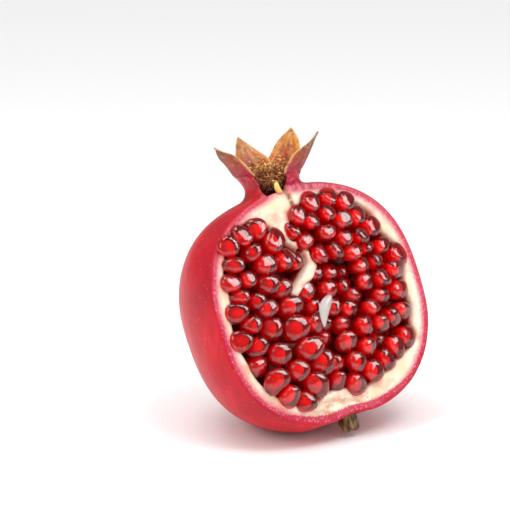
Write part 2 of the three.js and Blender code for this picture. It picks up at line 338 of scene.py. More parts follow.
def smooth_step(low: float, high: float, value: Array) -> Array:
    """0 below low, 1 above high, and a smooth S between."""
    t = np.clip((value - low) / (high - low), 0, 1)
    return t * t * (3 - 2 * t)


def surface_net(field: Array, axes: Sequence[Array]) -> tuple[Array, Array]:
    """Meshes the zero level of a sampled distance field with a surface net.

    Each cell that the surface crosses gets one vertex, at the mean of the crossings on its twelve
    edges. Each grid edge that changes sign gets one quad, over the four cells round it.

    Args:
        field: distances, negative inside, on a regular grid.
        axes: the grid's coordinates along X, Y and Z.

    Returns:
        The vertices and the quads.
    """
    inside = field < 0
    cells = tuple(n - 1 for n in field.shape)
    corners = [(i, j, k) for i in (0, 1) for j in (0, 1) for k in (0, 1)]
    count = np.zeros(cells, np.int8)
    for i, j, k in corners:
        count += inside[i:i + cells[0], j:j + cells[1], k:k + cells[2]]
    active = np.argwhere((count > 0) & (count < 8))
    number = np.full(cells, -1, np.int64)
    number[tuple(active.T)] = np.arange(len(active))
    values = np.stack([field[tuple((active + c).T)] for c in np.array(corners)], 1)
    total = np.zeros((len(active), 3))
    hits = np.zeros(len(active))
    for a, low in enumerate(corners):
        for b, high in enumerate(corners):
            if sum(high) - sum(low) != 1 or any(h < g for g, h in zip(low, high)):
                continue
            crossed = (values[:, a] < 0) != (values[:, b] < 0)
            share = values[crossed, a] / (values[crossed, a] - values[crossed, b])
            total[crossed] += np.array(low) + share[:, None] * (np.array(high) - np.array(low))
            hits[crossed] += 1
    step = np.array([axis[1] - axis[0] for axis in axes])
    start = np.array([axis[0] for axis in axes])
    vertices = start + (active + total / hits[:, None]) * step
    quads = []
    for axis in range(3):
        u, v = np.eye(3, dtype=int)[(axis + 1) % 3], np.eye(3, dtype=int)[(axis + 2) % 3]
        low = np.delete(inside, -1, axis)
        high = np.delete(inside, 0, axis)
        edge = np.argwhere(low != high)
        edge = edge[(edge @ u > 0) & (edge @ v > 0) & (edge @ u < cells[(axis + 1) % 3])
                    & (edge @ v < cells[(axis + 2) % 3])]
        ring = np.stack([number[tuple((edge + o).T)] for o in (-u - v, -v, 0 * u, -u)], 1)
        leaving = low[tuple(edge.T)]
        quads.append(np.where(leaving[:, None], ring, ring[:, ::-1]))
    return vertices, np.concatenate(quads)


def settle(points: Array, distance: Callable[[Array, Array, Array], Array], reach: float) -> Array:
    """Moves points onto the zero level of a distance field by Newton steps along its slope.

    Args:
        points: the points to move.
        distance: the field, as a function of x, y and z.
        reach: the longest move of one step.

    Returns:
        The moved points.
    """
    h = 0.08
    flattest = 0.2
    for _ in range(2):
        x, y, z = points.T
        here = distance(x, y, z)
        slope = np.stack((
            distance(x + h, y, z) - distance(x - h, y, z),
            distance(x, y + h, z) - distance(x, y - h, z),
            distance(x, y, z + h) - distance(x, y, z - h),
        ), 1) / (2 * h)
        size = np.maximum((slope ** 2).sum(1), flattest)
        move = -slope * (here / size)[:, None]
        length = np.maximum(np.linalg.norm(move, axis=1), 1e-9)
        points = points + move * np.minimum(1, reach / length)[:, None]
    return points


def loft(rings: Array) -> tuple[Array, Array]:
    """Closes a stack of rings with quads, and triangles over both ends.

    Args:
        rings: the rings' points, as (stack, around, 3).

    Returns:
        The points, with the two ends' middles last, and the faces.
    """
    stack, around, _ = rings.shape
    points = np.concatenate((rings.reshape(-1, 3), rings[[0, -1]].mean(1)))
    i, j = np.meshgrid(np.arange(stack - 1), np.arange(around), indexing="ij")
    k = (j + 1) % around
    low, high = i * around, (i + 1) * around
    quads = np.stack((low + j, low + k, high + k, high + j), -1)
    j = np.arange(around)
    k = (j + 1) % around
    first, last, top = len(points) - 2, len(points) - 1, (stack - 1) * around
    low = np.stack((np.full(around, first), k, j, j), 1)
    high = np.stack((np.full(around, last), top + j, top + k, top + k), 1)
    return points, np.concatenate((quads.reshape(-1, 4), low, high))


class Piece:
    """One visible mesh object of the fruit, built from arrays and tied to the frame."""

    def __init__(self, name: str, points: Array, faces: Array, place: FaceFrame) -> None:
        """Makes the mesh. Quads whose last two corners match become triangles.

        Args:
            name: the object's name.
            points: face-frame millimetres.
            faces: quads, one per row.
            place: the frame that puts the points in the model.
        """
        mesh = bpy.data.meshes.new(name)
        sizes = np.where(faces[:, 3] == faces[:, 2], 3, 4)
        loops = faces[np.arange(4)[None, :] < sizes[:, None]]
        mesh.vertices.add(len(points))
        mesh.vertices.foreach_set("co", place.to_world(points).astype(np.float32).ravel())
        mesh.loops.add(len(loops))
        mesh.loops.foreach_set("vertex_index", loops.astype(np.int32))
        mesh.polygons.add(len(faces))
        mesh.polygons.foreach_set("loop_start", (np.cumsum(sizes) - sizes).astype(np.int32))
        mesh.polygons.foreach_set("use_smooth", np.ones(len(faces), bool))
        mesh.update(calc_edges=True)
        mesh.validate()
        self.object = bpy.data.objects.new(name, mesh)
        bpy.context.scene.collection.objects.link(self.object)
        log.info("%s: %d vertices, %d faces", name, len(points), len(faces))

    def attribute(self, name: str, values: Array) -> "Piece":
        """Stores one number for each vertex, for the materials to read.

        Args:
            name: the attribute's name.
            values: one number for each vertex.

        Returns:
            The piece.
        """
        layer = self.object.data.attributes.new(name, "FLOAT", "POINT")
        layer.data.foreach_set("value", np.asarray(values, np.float32))
        return self

    def finish(self, material: bpy.types.Material, slot: str, *nodes: str) -> "Piece":
        """Gives the piece its material, and lets it stand for CAD nodes.

        Args:
            material: what it is made of.
            slot: the CAD material slot that it fills; not used.
            nodes: the CAD nodes that it replaces.

        Returns:
            The piece.
        """
        self.object.data.materials.append(material)
        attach(self.object, "root")
        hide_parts(*nodes)
        return self


def joined(parts: Sequence[tuple[Array, Array]]) -> tuple[Array, Array]:
    """Several meshes as one, with their faces renumbered.

    Args:
        parts: each mesh's points and faces.

    Returns:
        The points and faces together.
    """
    starts = np.cumsum([0] + [len(points) for points, _ in parts[:-1]])
    faces = [quads + start for (_, quads), start in zip(parts, starts)]
    return np.concatenate([points for points, _ in parts]), np.concatenate(faces)


# ---------------------------------------------------------------- arils


@dataclass(frozen=True)
class Aril:
    """One seed in its flesh.

    Args:
        chamber: the chamber that holds it.
        width: how wide its head is, in millimetres.
        centre: the middle of its head, in the face frame.
        root: unit vector from head to root.
    """

    chamber: str
    width: float
    centre: Array
    root: Array

    @classmethod
    def placed(cls, chamber: str, x: float, z: float, width: float, rng: np.random.Generator) -> "Aril":
        """Sets a seed at a place on the face; those at a chamber's border sit deeper.

        Args:
            chamber: the chamber's name.
            x: place along the face, in millimetres.
            z: place up the face, in millimetres.
            width: width of the head, in millimetres.
            rng: source of the small differences between seeds.

        Returns:
            The seed.
        """
        arils = np.array(CHAMBERS[chamber])
        away = np.hypot(x - arils[:, 0].mean(), z - arils[:, 1].mean())
        reach = np.hypot(arils[:, 0] - arils[:, 0].mean(), arils[:, 1] - arils[:, 1].mean()).max()
        sunk = SINK[chamber] + BORDER_SINK * (away / reach) ** 2 + rng.uniform(-0.5, 0.5)
        centre = np.array((NARROWING * x + CUT.middle_x, CUT.front + 0.8 + sunk, z + CUT.middle_z))
        lean = np.array((-0.010 * x, 1.0, -0.010 * z)) + rng.normal(0, 0.14, 3)
        return cls(chamber, width, centre, lean / np.linalg.norm(lean))


# How far each chamber's arils sit back from the face, in millimetres.
SINK = {
    "upper_left": -0.9, "left": -0.2, "lower_left": -1.4, "bottom": 0.0,
    "lower_right": 0.3, "right": 0.2, "upper_right": -1.2, "middle": 2.8,
}
BORDER_SINK = 2.6  # how much deeper the outermost arils of a chamber sit
NARROWING = 0.955  # the arils' places are drawn in by this much along the face


def all_arils() -> list[Aril]:
    """Every aril of the first layer."""
    rng = np.random.default_rng(SEED)
    return [Aril.placed(name, *row, rng) for name, rows in CHAMBERS.items() for row in rows]


@dataclass(frozen=True)
class SeedShape:
    """How an aril or its pip is drawn from the planes round it.

    Args:
        share: size, as a share of the space between the planes.
        head: distance of the head's plane from the middle, in millimetres.
        root: distance of the root's plane.
        sides: planes in the seed's own ring.
        taper: lean of that ring's planes towards the root, in radians.
        side_share: distance of that ring's planes, as a share of half the width.
        gap_share: distance of a neighbour's plane, as a share of half the way to it.
        nearest: the least distance of a neighbour's plane, in millimetres.
        reach: how far away a seed still counts as a neighbour.
        roundness: power of the norm; higher is squarer.
        rows: rings from head to root.
        columns: points round each ring.
        shift: move towards the root, in millimetres.
    """

    share: float = 1.0
    head: float = 4.9
    root: float = 8.5
    sides: int = 6
    taper: float = 0.20
    side_share: float = 1.24
    gap_share: float = 1.16
    nearest: float = 2.8
    reach: float = 13.0
    roundness: float = 3.2
    rows: int = 16
    columns: int = 22
    shift: float = 0.0


def seed_rings(aril: Aril, others: Sequence[Aril], shape: SeedShape, rng: np.random.Generator) -> Array:
    """Rings of one seed, pole at the head.

    The seed fills the space between planes: one half way to each neighbour, a ring of its own
    that leans in towards the root, one at the head and one at the root. The radius in a direction
    is the p-norm of the planes' nearness, so edges and corners come out rounded.

    Args:
        aril: the seed.
        others: all the seeds.
        shape: how it fills its space.
        rng: source of the small differences between seeds.

    Returns:
        The rings' points, as (rows, columns, 3).
    """
    root = aril.root
    side = np.cross(root, (0.3, 0.1, 1.0))
    side /= np.linalg.norm(side)
    up = np.cross(side, root)
    polar = np.linspace(0, math.pi, shape.rows + 2)[1:-1]
    around = np.linspace(0, 2 * math.pi, shape.columns, endpoint=False)
    a, b = np.meshgrid(polar, around, indexing="ij")
    local = (-np.cos(a)[..., None] * root + (np.sin(a) * np.cos(b))[..., None] * side
             + (np.sin(a) * np.sin(b))[..., None] * up)
    half = aril.width / 2
    phase = rng.uniform(0, math.pi)
    normals, heights = [-root, root], [shape.head * (1 + rng.uniform(-0.08, 0.08)), shape.root]
    for k in range(shape.sides):
        angle = phase + (k + rng.uniform(-0.15, 0.15)) * 2 * math.pi / shape.sides
        flat = math.cos(angle) * side + math.sin(angle) * up
        normals.append(flat * math.cos(shape.taper) + root * math.sin(shape.taper))
        heights.append(half * (shape.side_share + rng.uniform(-0.07, 0.07)))
    for other in others:
        apart = other.centre - aril.centre
        gap = np.linalg.norm(apart)
        if other is not aril and gap < shape.reach:
            normals.append(apart / gap)
            half_way = gap * aril.width / (aril.width + other.width)
            heights.append(max(half_way * shape.gap_share, shape.nearest))
    near = np.maximum(local @ np.array(normals).T, 0) / np.array(heights)
    radius = (near ** shape.roundness).sum(-1) ** (-1 / shape.roundness)
    return aril.centre + root * shape.shift + local * (radius * shape.share)[..., None]


@dataclass(frozen=True)
class ArilCluster:
    """The arils of one chamber, each with its pip.

    Args:
        chamber: the chamber's name.
        arils: all the seeds of the fruit.
        place: puts them in the model.
        flesh_shape: how the flesh fills its space.
        pip_shape: how the pip fills the flesh.
    """

    chamber: str
    arils: Sequence[Aril]
    place: FaceFrame
    flesh_shape: SeedShape = SeedShape()
    pip_shape: SeedShape = SeedShape(
        share=0.64, head=4.6, taper=0.3, roundness=2.2, rows=12, columns=16, shift=1.2)

    def build(self, flesh: bpy.types.Material, pip: bpy.types.Material) -> None:
        """Makes the flesh and pip objects.

        Args:
            flesh: clear red material of the flesh.
            pip: pale material of the pips.
        """
        layers = ((self.flesh_shape, flesh, "flesh"), (self.pip_shape, pip, "pips"))
        for shape, material, suffix in layers:
            rng = np.random.default_rng(SEED + 1)
            mine = [aril for aril in self.arils if aril.chamber == self.chamber]
            parts, tones = [], []
            for aril in mine:
                points, faces = loft(seed_rings(aril, self.arils, shape, rng)[:, ::-1])
                parts.append((points, faces))
                tones.append(np.full(len(points), rng.uniform(0, 1)))
            points, faces = joined(parts)
            piece = Piece(f"arils_{self.chamber}_{suffix}", points, faces, self.place)
            piece.attribute("tone", np.concatenate(tones))
            piece.finish(material, "aril_flesh", f"arils_{self.chamber}")


# ---------------------------------------------------------------- rind


OUTLINE_NARROWING = 0.965  # the pocket's outline is drawn in by this much along the face


def outline_points(samples: int = 4) -> Array:
    """The pocket's outline as a closed Catmull-Rom curve through its points.

    Args:
        samples: points for each stretch of the curve.

    Returns:
        The curve's points on the face, as (x, z).
    """
    p = np.array(POCKET, float)
    before, after, later = np.roll(p, 1, 0), np.roll(p, -1, 0), np.roll(p, -2, 0)
    t = (np.arange(samples) / samples)[None, :, None]
    b, p, a, l = before[:, None], p[:, None], after[:, None], later[:, None]
    curve = 0.5 * (2 * p + (a - b) * t + (2 * b - 5 * p + 4 * a - l) * t ** 2
                   + (3 * p - b - 3 * a + l) * t ** 3)
    return curve.reshape(-1, 2) * (OUTLINE_NARROWING, 1) + np.array((CUT.middle_x, CUT.middle_z))


def outline_distance(x: Array, z: Array, line: Array) -> Array:
    """Signed distance to a closed outline in the face's plane.

    The distance is the least one to any of the outline's edges. A point lies inside when a line
    from it along the face crosses an odd number of edges.

    Args:
        x: places along the face.
        z: places up the face.
        line: the outline's points.

    Returns:
        The distances, negative inside.
    """
    nearest = np.full(np.broadcast(x, z).shape, np.inf)
    crossings = np.zeros(nearest.shape, bool)
    for (ax, az), (bx, bz) in zip(line, np.roll(line, -1, 0)):
        ex, ez = bx - ax, bz - az
        t = np.clip(((x - ax) * ex + (z - az) * ez) / (ex * ex + ez * ez), 0, 1)
        nearest = np.minimum(nearest, (x - ax - t * ex) ** 2 + (z - az - t * ez) ** 2)
        between = (az > z) != (bz > z)
        with np.errstate(divide="ignore", invalid="ignore"):
            crossings ^= between & (x < ax + (z - az) * ex / (ez if ez else 1e-9))
    return np.sqrt(nearest) * np.where(crossings, -1, 1)


def tube_radius(rise: Array) -> Array:
    """Outer radius of the calyx tube at a height over its neck."""
    up = np.maximum(rise, 0)
    return CROWN.neck + CROWN.spread * up + CROWN.flare * up ** 2


def bore_radius(rise: Array) -> Array:
    """Inner radius of the calyx tube, whose wall thins towards its lip.

    Args:
        rise: height over the neck, in millimetres.

    Returns:
        The radius.
    """
    share = np.clip(rise / CROWN.tube_top, 0, 1)
    wall = CROWN.wall + (CROWN.lip_wall - CROWN.wall) * share
    return tube_radius(np.maximum(rise, 1)) - wall


Stroke = tuple[tuple[float, float, float], ...]
FAR = 50.0  # stands for a distance too large to matter, in millimetres
HOLLOW_BACK = 6.0  # no hollow reaches further into the fruit than this


@dataclass(frozen=True)
class Rind:
    """Peel, pith and calyx tube as one distance field.

    Args:
        place: puts the rind in the model.
        arils: the seeds that press sockets into the pith.
        step: cell size of the sampling grid, in millimetres.
        scratch: the line of a dry scratch on the shoulder.
        crevice: the line of the brown crevice beside the pith's peak.
        line: the pocket's outline on the face.
        neck_blend: how widely the body and the calyx tube run into each other.
        cut_blend: how far the knife's edge is rounded.
        mouth_blend: how far the pocket's mouth is rounded.
        draw_in: how fast the pocket's walls draw in with depth.
        pocket_margin: how far outside the pocket a point still counts as in it.
        bore_fade: square of the width over which the bore's colour fades.
        scratch_width, crevice_width: half widths of those two lines.
    """

    place: FaceFrame
    arils: Sequence[Aril]
    step: float = 0.68
    scratch: Stroke = (
        (-20.5, -8.6, 41.8), (-22.8, -6.7, 40.9), (-27.0, -2.2, 39.4), (-31.7, 1.8, 36.6))
    crevice: Stroke = (
        (-8.4, -11.6, 44.6), (-6.2, -12.3, 42.8), (-5.4, -12.4, 39.6), (-4.6, -12.4, 37.0))
    line: Array = field(default_factory=outline_points)
    neck_blend: float = 3.6
    cut_blend: float = 0.7
    mouth_blend: float = 1.1
    draw_in: float = 0.28
    pocket_margin: float = 1.5
    bore_fade: float = 0.3
    scratch_width: float = 0.45
    crevice_width: float = 0.8

    def skin(self, x: Array, y: Array, z: Array) -> Array:
        """Distance over the uncut skin.

        The body is a superellipsoid with a cosine for its ribs, a slow product of sines for its
        dents and a bell-shaped dimple at the stalk. The calyx tube is a flaring cone whose axis
        sags, with a wavy lip. The two are blended at the neck.

        Args:
            x, y, z: face-frame millimetres.

        Returns:
            The distances, negative inside.
        """
        sx, sy, sz = to_stalk(x, y, z)
        flat = np.hypot(sx, sy)
        whole = np.maximum(np.hypot(flat, sz), 1e-6)
        n = BODY.squareness
        g = ((flat / BODY.radius) ** n + (np.abs(sz) / BODY.half_height) ** n) ** (1 / n)
        body = whole * (1 - 1 / np.maximum(g, 1e-6))
        body = body - BODY.rib_depth * np.cos(BODY.ribs * np.arctan2(sy, sx)) * (flat / whole) ** 2
        body = body + BODY.dent * np.sin(0.11 * sx + 1) * np.sin(0.12 * sy + 2) * np.sin(0.10 * sz)
        off = ((sx - BODY.stalk_x) ** 2 + (sy - BODY.stalk_y) ** 2) / BODY.dimple_radius ** 2
        body = body + np.where(sz < 0, BODY.dimple_depth * np.exp(-off), 0)
        cx, cy, cz = to_crown(x, y, z)
        bent = cx + CROWN.sag * np.maximum(cz, 0) ** 2
        angle = np.arctan2(cy, bent)
        wobble = 0.22 * np.sin(5 * angle + 0.3 * cz) + 0.12 * np.sin(11 * angle + 1)
        tube = (np.hypot(bent, cy) - tube_radius(cz) - wobble) * 0.9
        tube = np.maximum(tube, -CROWN.root - cz)
        lip = CROWN.tube_top - CROWN.notch * np.cos(5 * angle - 2.6)
        tube = smooth_max(tube, cz - lip, 1.0)
        return smooth_min(body, tube, self.neck_blend)

    def removed(self, x: Array, y: Array, z: Array) -> Array:
        """Distance into what the knife and the tear took.

        The knife's face is a plane with slow waves and a low ridge of pith between the upper
        chambers. The tear is a wedge that opens up the tube, with frayed sides and a floor.

        Args:
            x, y, z: face-frame millimetres.

        Returns:
            The distances, negative where material is gone.
        """
        wave = CUT.wave * np.sin(0.16 * x + 0.9) * np.sin(0.14 * z)
        wave = wave + CUT.ripple * np.sin(0.45 * x + 0.31 * z)
        off_ridge = (x + 2.0 + 0.45 * np.abs(z - 15)) / 4.0
        ridge = CUT.ridge * np.exp(-off_ridge ** 2 - ((z - 16.0) / 9.0) ** 2)
        face = y - (CUT.front + wave - ridge)
        cx, cy, cz = to_crown(x, y, z)
        face = np.maximum(face, (cz - 1.0 + 0.8 * face) * 0.7)
        c, s = math.cos(CROWN.tear_turn), math.sin(CROWN.tear_turn)
        out = cx * c + cy * s
        across = cy * c - cx * s + CROWN.fray * np.sin(1.3 * cz + 0.5 * cx)
        across = across + CROWN.fine_fray * np.sin(3.1 * cz)
        up = cz - CROWN.tear_floor
        left = (-across - CROWN.tear_left - CROWN.tear_left_slope * up) * 0.89
        right = (across - CROWN.tear_right - CROWN.tear_right_slope * up) * 0.95
        wedge = np.maximum(smooth_max(left, right, 0.8), -out)
        wedge = smooth_max(wedge, 0.95 * (CROWN.tear_floor + 0.28 * (across + 2.8) - cz), 1.0)
        return smooth_min(face, wedge, 0.8)

    def bore(self, x: Array, y: Array, z: Array) -> Array:
        """Distance to the tube's bore, with a low mound where the style stands.

        Args:
            x, y, z: face-frame millimetres.

        Returns:
            The distances, negative in the bore.
        """
        cx, cy, cz = to_crown(x, y, z)
        r = np.hypot(cx + CROWN.sag * np.maximum(cz, 0) ** 2, cy)
        mound = np.exp(-((cx - 0.6) ** 2 + (cy + 5.0) ** 2) / 7)
        floor = CROWN.bore_floor + CROWN.style_mound * mound
        return smooth_max(r - bore_radius(cz), floor - cz, 2.2)

    def pocket(self, x: Array, y: Array, z: Array) -> Array:
        """Distance to the pocket, whose walls draw in with depth and whose mouth is rounded."""
        depth = y - CUT.front
        side = outline_distance(x, z, self.line) + self.draw_in * np.maximum(depth, 0)
        return smooth_max(side, y - CUT.pocket_back, 2.5)

    def sockets(self, x: Array, y: Array, z: Array) -> Array:
        """Distance to the hollows that the arils press into the pith.

        Each hollow is an ellipsoid a little wider than its seed, 1.5 mm behind the seed's middle.

        Args:
            x, y, z: face-frame millimetres.

        Returns:
            The distance to the nearest hollow, negative inside.
        """
        half_depth, clearance, setback = 6.2, 0.1, 1.5
        nearest = np.full(np.broadcast(x, y, z).shape, FAR)
        for aril in self.arils:
            half = aril.width / 2 + clearance
            middle = aril.centre + aril.root * setback
            across = np.sqrt(((x - middle[0]) ** 2 + (z - middle[2]) ** 2) / half ** 2
                             + ((y - middle[1]) / half_depth) ** 2)
            nearest = np.minimum(nearest, (across - 1) * half)
        return nearest

    def cut_body(self, x: Array, y: Array, z: Array) -> Array:
        """Distance over the fruit after the knife and the tear, with its bore but no pocket."""
        solid = smooth_max(self.skin(x, y, z), -self.removed(x, y, z), self.cut_blend)
        return smooth_max(solid, -self.bore(x, y, z), 0.6)

    def hollow(self, x: Array, y: Array, z: Array) -> Array:
        """Distance to the pocket together with the arils' sockets."""
        return smooth_min(self.pocket(x, y, z), self.sockets(x, y, z), 1.2)

    def rested(self, body: Array, hollow: Array, y: Array, z: Array) -> Array:
        """Takes the hollow out of the body and cuts the flat spot that it rests on.

        Args:
            body: distances over the cut body.
            hollow: distances to the pocket.
            y, z: face-frame millimetres.

        Returns:
            The distances over the whole rind.
        """
        open_body = smooth_max(body, -hollow, self.mouth_blend)
        return smooth_max(open_body, -self.place.height(y, z), 0.8)

    def distance(self, x: Array, y: Array, z: Array) -> Array:
        """Distance over the whole rind."""
        return self.rested(self.cut_body(x, y, z), self.hollow(x, y, z), y, z)

    def build(self, material: bpy.types.Material) -> None:
        """Samples the field, meshes it and stores what the material reads.

        Args:
            material: paints skin, pith, tube and crevice by the stored numbers.
        """
        spans = ((-50, 50), (-21, 49.5), (-49, 57))
        axes = [np.arange(low, high, self.step) for low, high in spans]
        x, y, z = axes[0][:, None, None], axes[1][None, :, None], axes[2][None, None, :]
        body = self.cut_body(x, y, z)
        front = axes[1] < HOLLOW_BACK
        hollow = np.full(body.shape, FAR)
        hollow[:, front] = self.hollow(x, y[:, front], z)
        points, quads = surface_net(self.rested(body, hollow, y, z), axes)
        points = settle(points, self.distance, 0.45 * self.step)
        piece = Piece("rind_peel_and_pith", points, quads, self.place)
        px, py, pz = points.T
        sx, sy, sz = to_stalk(px, py, pz)
        piece.attribute("depth", -self.skin(px, py, pz))
        piece.attribute("rise", to_crown(px, py, pz)[2])
        in_pocket = self.pocket(px, py, pz) < self.pocket_margin
        # Depth into the pocket, by which the material reddens the pith and then darkens it as painted
        # shade.
        piece.attribute("sunk", np.maximum(py - CUT.front, 0) * in_pocket)
        off_bore = np.maximum(self.bore(px, py, pz), 0)
        piece.attribute("bore", np.exp(-off_bore ** 2 / self.bore_fade))
        piece.attribute("upright", sz)
        piece.attribute("stalk_near", np.hypot(sx - BODY.stalk_x, sz - BODY.stain_z))
        piece.attribute("scratch", self.stroke(points, self.scratch, self.scratch_width))
        piece.attribute("crevice", self.stroke(points, self.crevice, self.crevice_width))
        piece.finish(material, "rind", "rind")

    @staticmethod
    def stroke(points: Array, line: Sequence[tuple[float, float, float]], width: float) -> Array:
        """A mask that is 1 on a line through space and fades out over a width.

        Args:
            points: where to work it out.
            line: the line's points.
            width: half of the line's width, in millimetres.

        Returns:
            One number for each point.
        """
        nearest = np.full(len(points), np.inf)
        for start, end in zip(np.array(line[:-1]), np.array(line[1:])):
            along = end - start
            t = np.clip((points - start) @ along / (along @ along), 0, 1)
            nearest = np.minimum(nearest, np.linalg.norm(points - start - t[:, None] * along, axis=1))
        return smooth_step(2 * width, 0.5 * width, nearest)


# ---------------------------------------------------------------- crown


@dataclass(frozen=True)
class Lobe:
    """One calyx lobe: where it stands on the lip, how long it is and how it bends.

    Args:
        turn: angle round the crown of its middle, in degrees.
        spread: angle that its foot covers, in degrees.
        length: from foot to tip, in millimetres.
        start: lean of the foot from upright, in radians.
        curl: lean that it gains from foot to tip, in radians.
        skew: sideways lean of the tip, in millimetres.
        roll: how far its edges turn out, in millimetres.
    """

    turn: float
    spread: float
    length: float
    start: float
    curl: float
    skew: float
    roll: float


LOBES = {
    "right": Lobe(-46, 84, 16.8, 0.55, -0.10, 1.2, -0.6),
    "back": Lobe(29, 80, 20.5, 0.50, -0.22, 0.3, -1.0),
    "back_left": Lobe(86, 84, 17.0, 0.44, -0.50, 4.0, -1.6),
    "left": Lobe(175, 80, 14.6, 0.52, 0.22, -0.6, -0.6),
}


@dataclass(frozen=True)
class Sepal:
    """A leathery calyx lobe, grown from the lip of the tube to a point.

    Args:
        name: the lobe's name.
        lobe: its place, size and bend.
        place: puts it in the model.
        foot: height of its foot over the neck, in millimetres.
        thick: thickness at the foot.
        rows: rings from foot to tip.
        half: points across each side of a ring.
    """

    name: str
    lobe: Lobe
    place: FaceFrame
    foot: float = 5.0
    thick: float = 1.5
    rows: int = 30
    half: int = 15

    def build(self, material: bpy.types.Material) -> None:
        """Lofts the lobe from flat rings, outer side first, then its inner side.

        The middle line leaves the tube's lip at a lean that changes steadily towards the tip. The
        breadth shrinks in step with the way left to the tip, swollen a little in the middle. The
        edges thin out, turn and ripple.

        Args:
            material: dry calyx skin.
        """
        lobe, rows, half = self.lobe, self.rows, self.half
        s = np.linspace(0, 1, rows)
        lean = lobe.start + lobe.curl * s
        step = lobe.length / (rows - 1)
        lip = tube_radius(self.foot)
        out = lip + np.concatenate(((0,), np.cumsum(np.sin(lean[:-1])))) * step
        rise = self.foot + np.concatenate(((0,), np.cumsum(np.cos(lean[:-1])))) * step
        t = np.concatenate((np.linspace(-1, 1, half), np.linspace(1, -1, half)))
        inner = np.concatenate((np.zeros(half), np.ones(half)))
        s, t = np.meshgrid(s, t, indexing="ij")
        inner = np.broadcast_to(inner, s.shape)
        breadth = np.maximum(1 - s, 0.004) * (1 + 1.25 * s)
        ripple = 0.05 * np.sin(11 * s + lobe.turn + 1.5 * np.sign(t)) * smooth_step(0.1, 0.3, s)
        breadth = breadth * (1 + ripple)
        span = math.radians(lobe.spread / 2) * breadth * lip / out[:, None] * 1.06
        angle = math.radians(lobe.turn) + t * span + lobe.skew * s ** 2 / out[:, None]
        ridge = -0.30 * np.exp(-(t / 0.13) ** 2) * s * (1 - s) * 4
        wave = 0.50 * np.abs(t) ** 3 * np.sin(7 * s + 2 * t + lobe.turn)
        edge = lobe.roll * t ** 2 * breadth * smooth_step(0, 0.5, s)
        thick = self.thick * (0.30 + 0.70 * (1 - s)) * (1 - 0.72 * t ** 4) * breadth ** 0.15
        lift = 0.10 + 0.25 * smooth_step(0, 0.25, s) - inner * thick + edge + wave + ridge
        radial = out[:, None] + lift * np.cos(lean)[:, None]
        height = rise[:, None] - lift * np.sin(lean)[:, None]
        bent = CROWN.sag * np.minimum(height, CROWN.tube_top) ** 2 * (1 - 0.5 * s)
        rings = np.stack((radial * np.cos(angle) - bent, radial * np.sin(angle), height), -1)
        points, faces = loft(rings)
        piece = Piece(f"sepal_{self.name}_lobe", from_crown(points), faces, self.place)
        piece.attribute("along", np.concatenate((s.ravel(), (0, 1))))
        piece.attribute("across", np.concatenate((t.ravel(), (0, 0))))
        piece.attribute("inner", np.concatenate((inner.ravel(), (0, 0))))
        piece.finish(material, "dried_calyx", f"sepal_{self.name}")


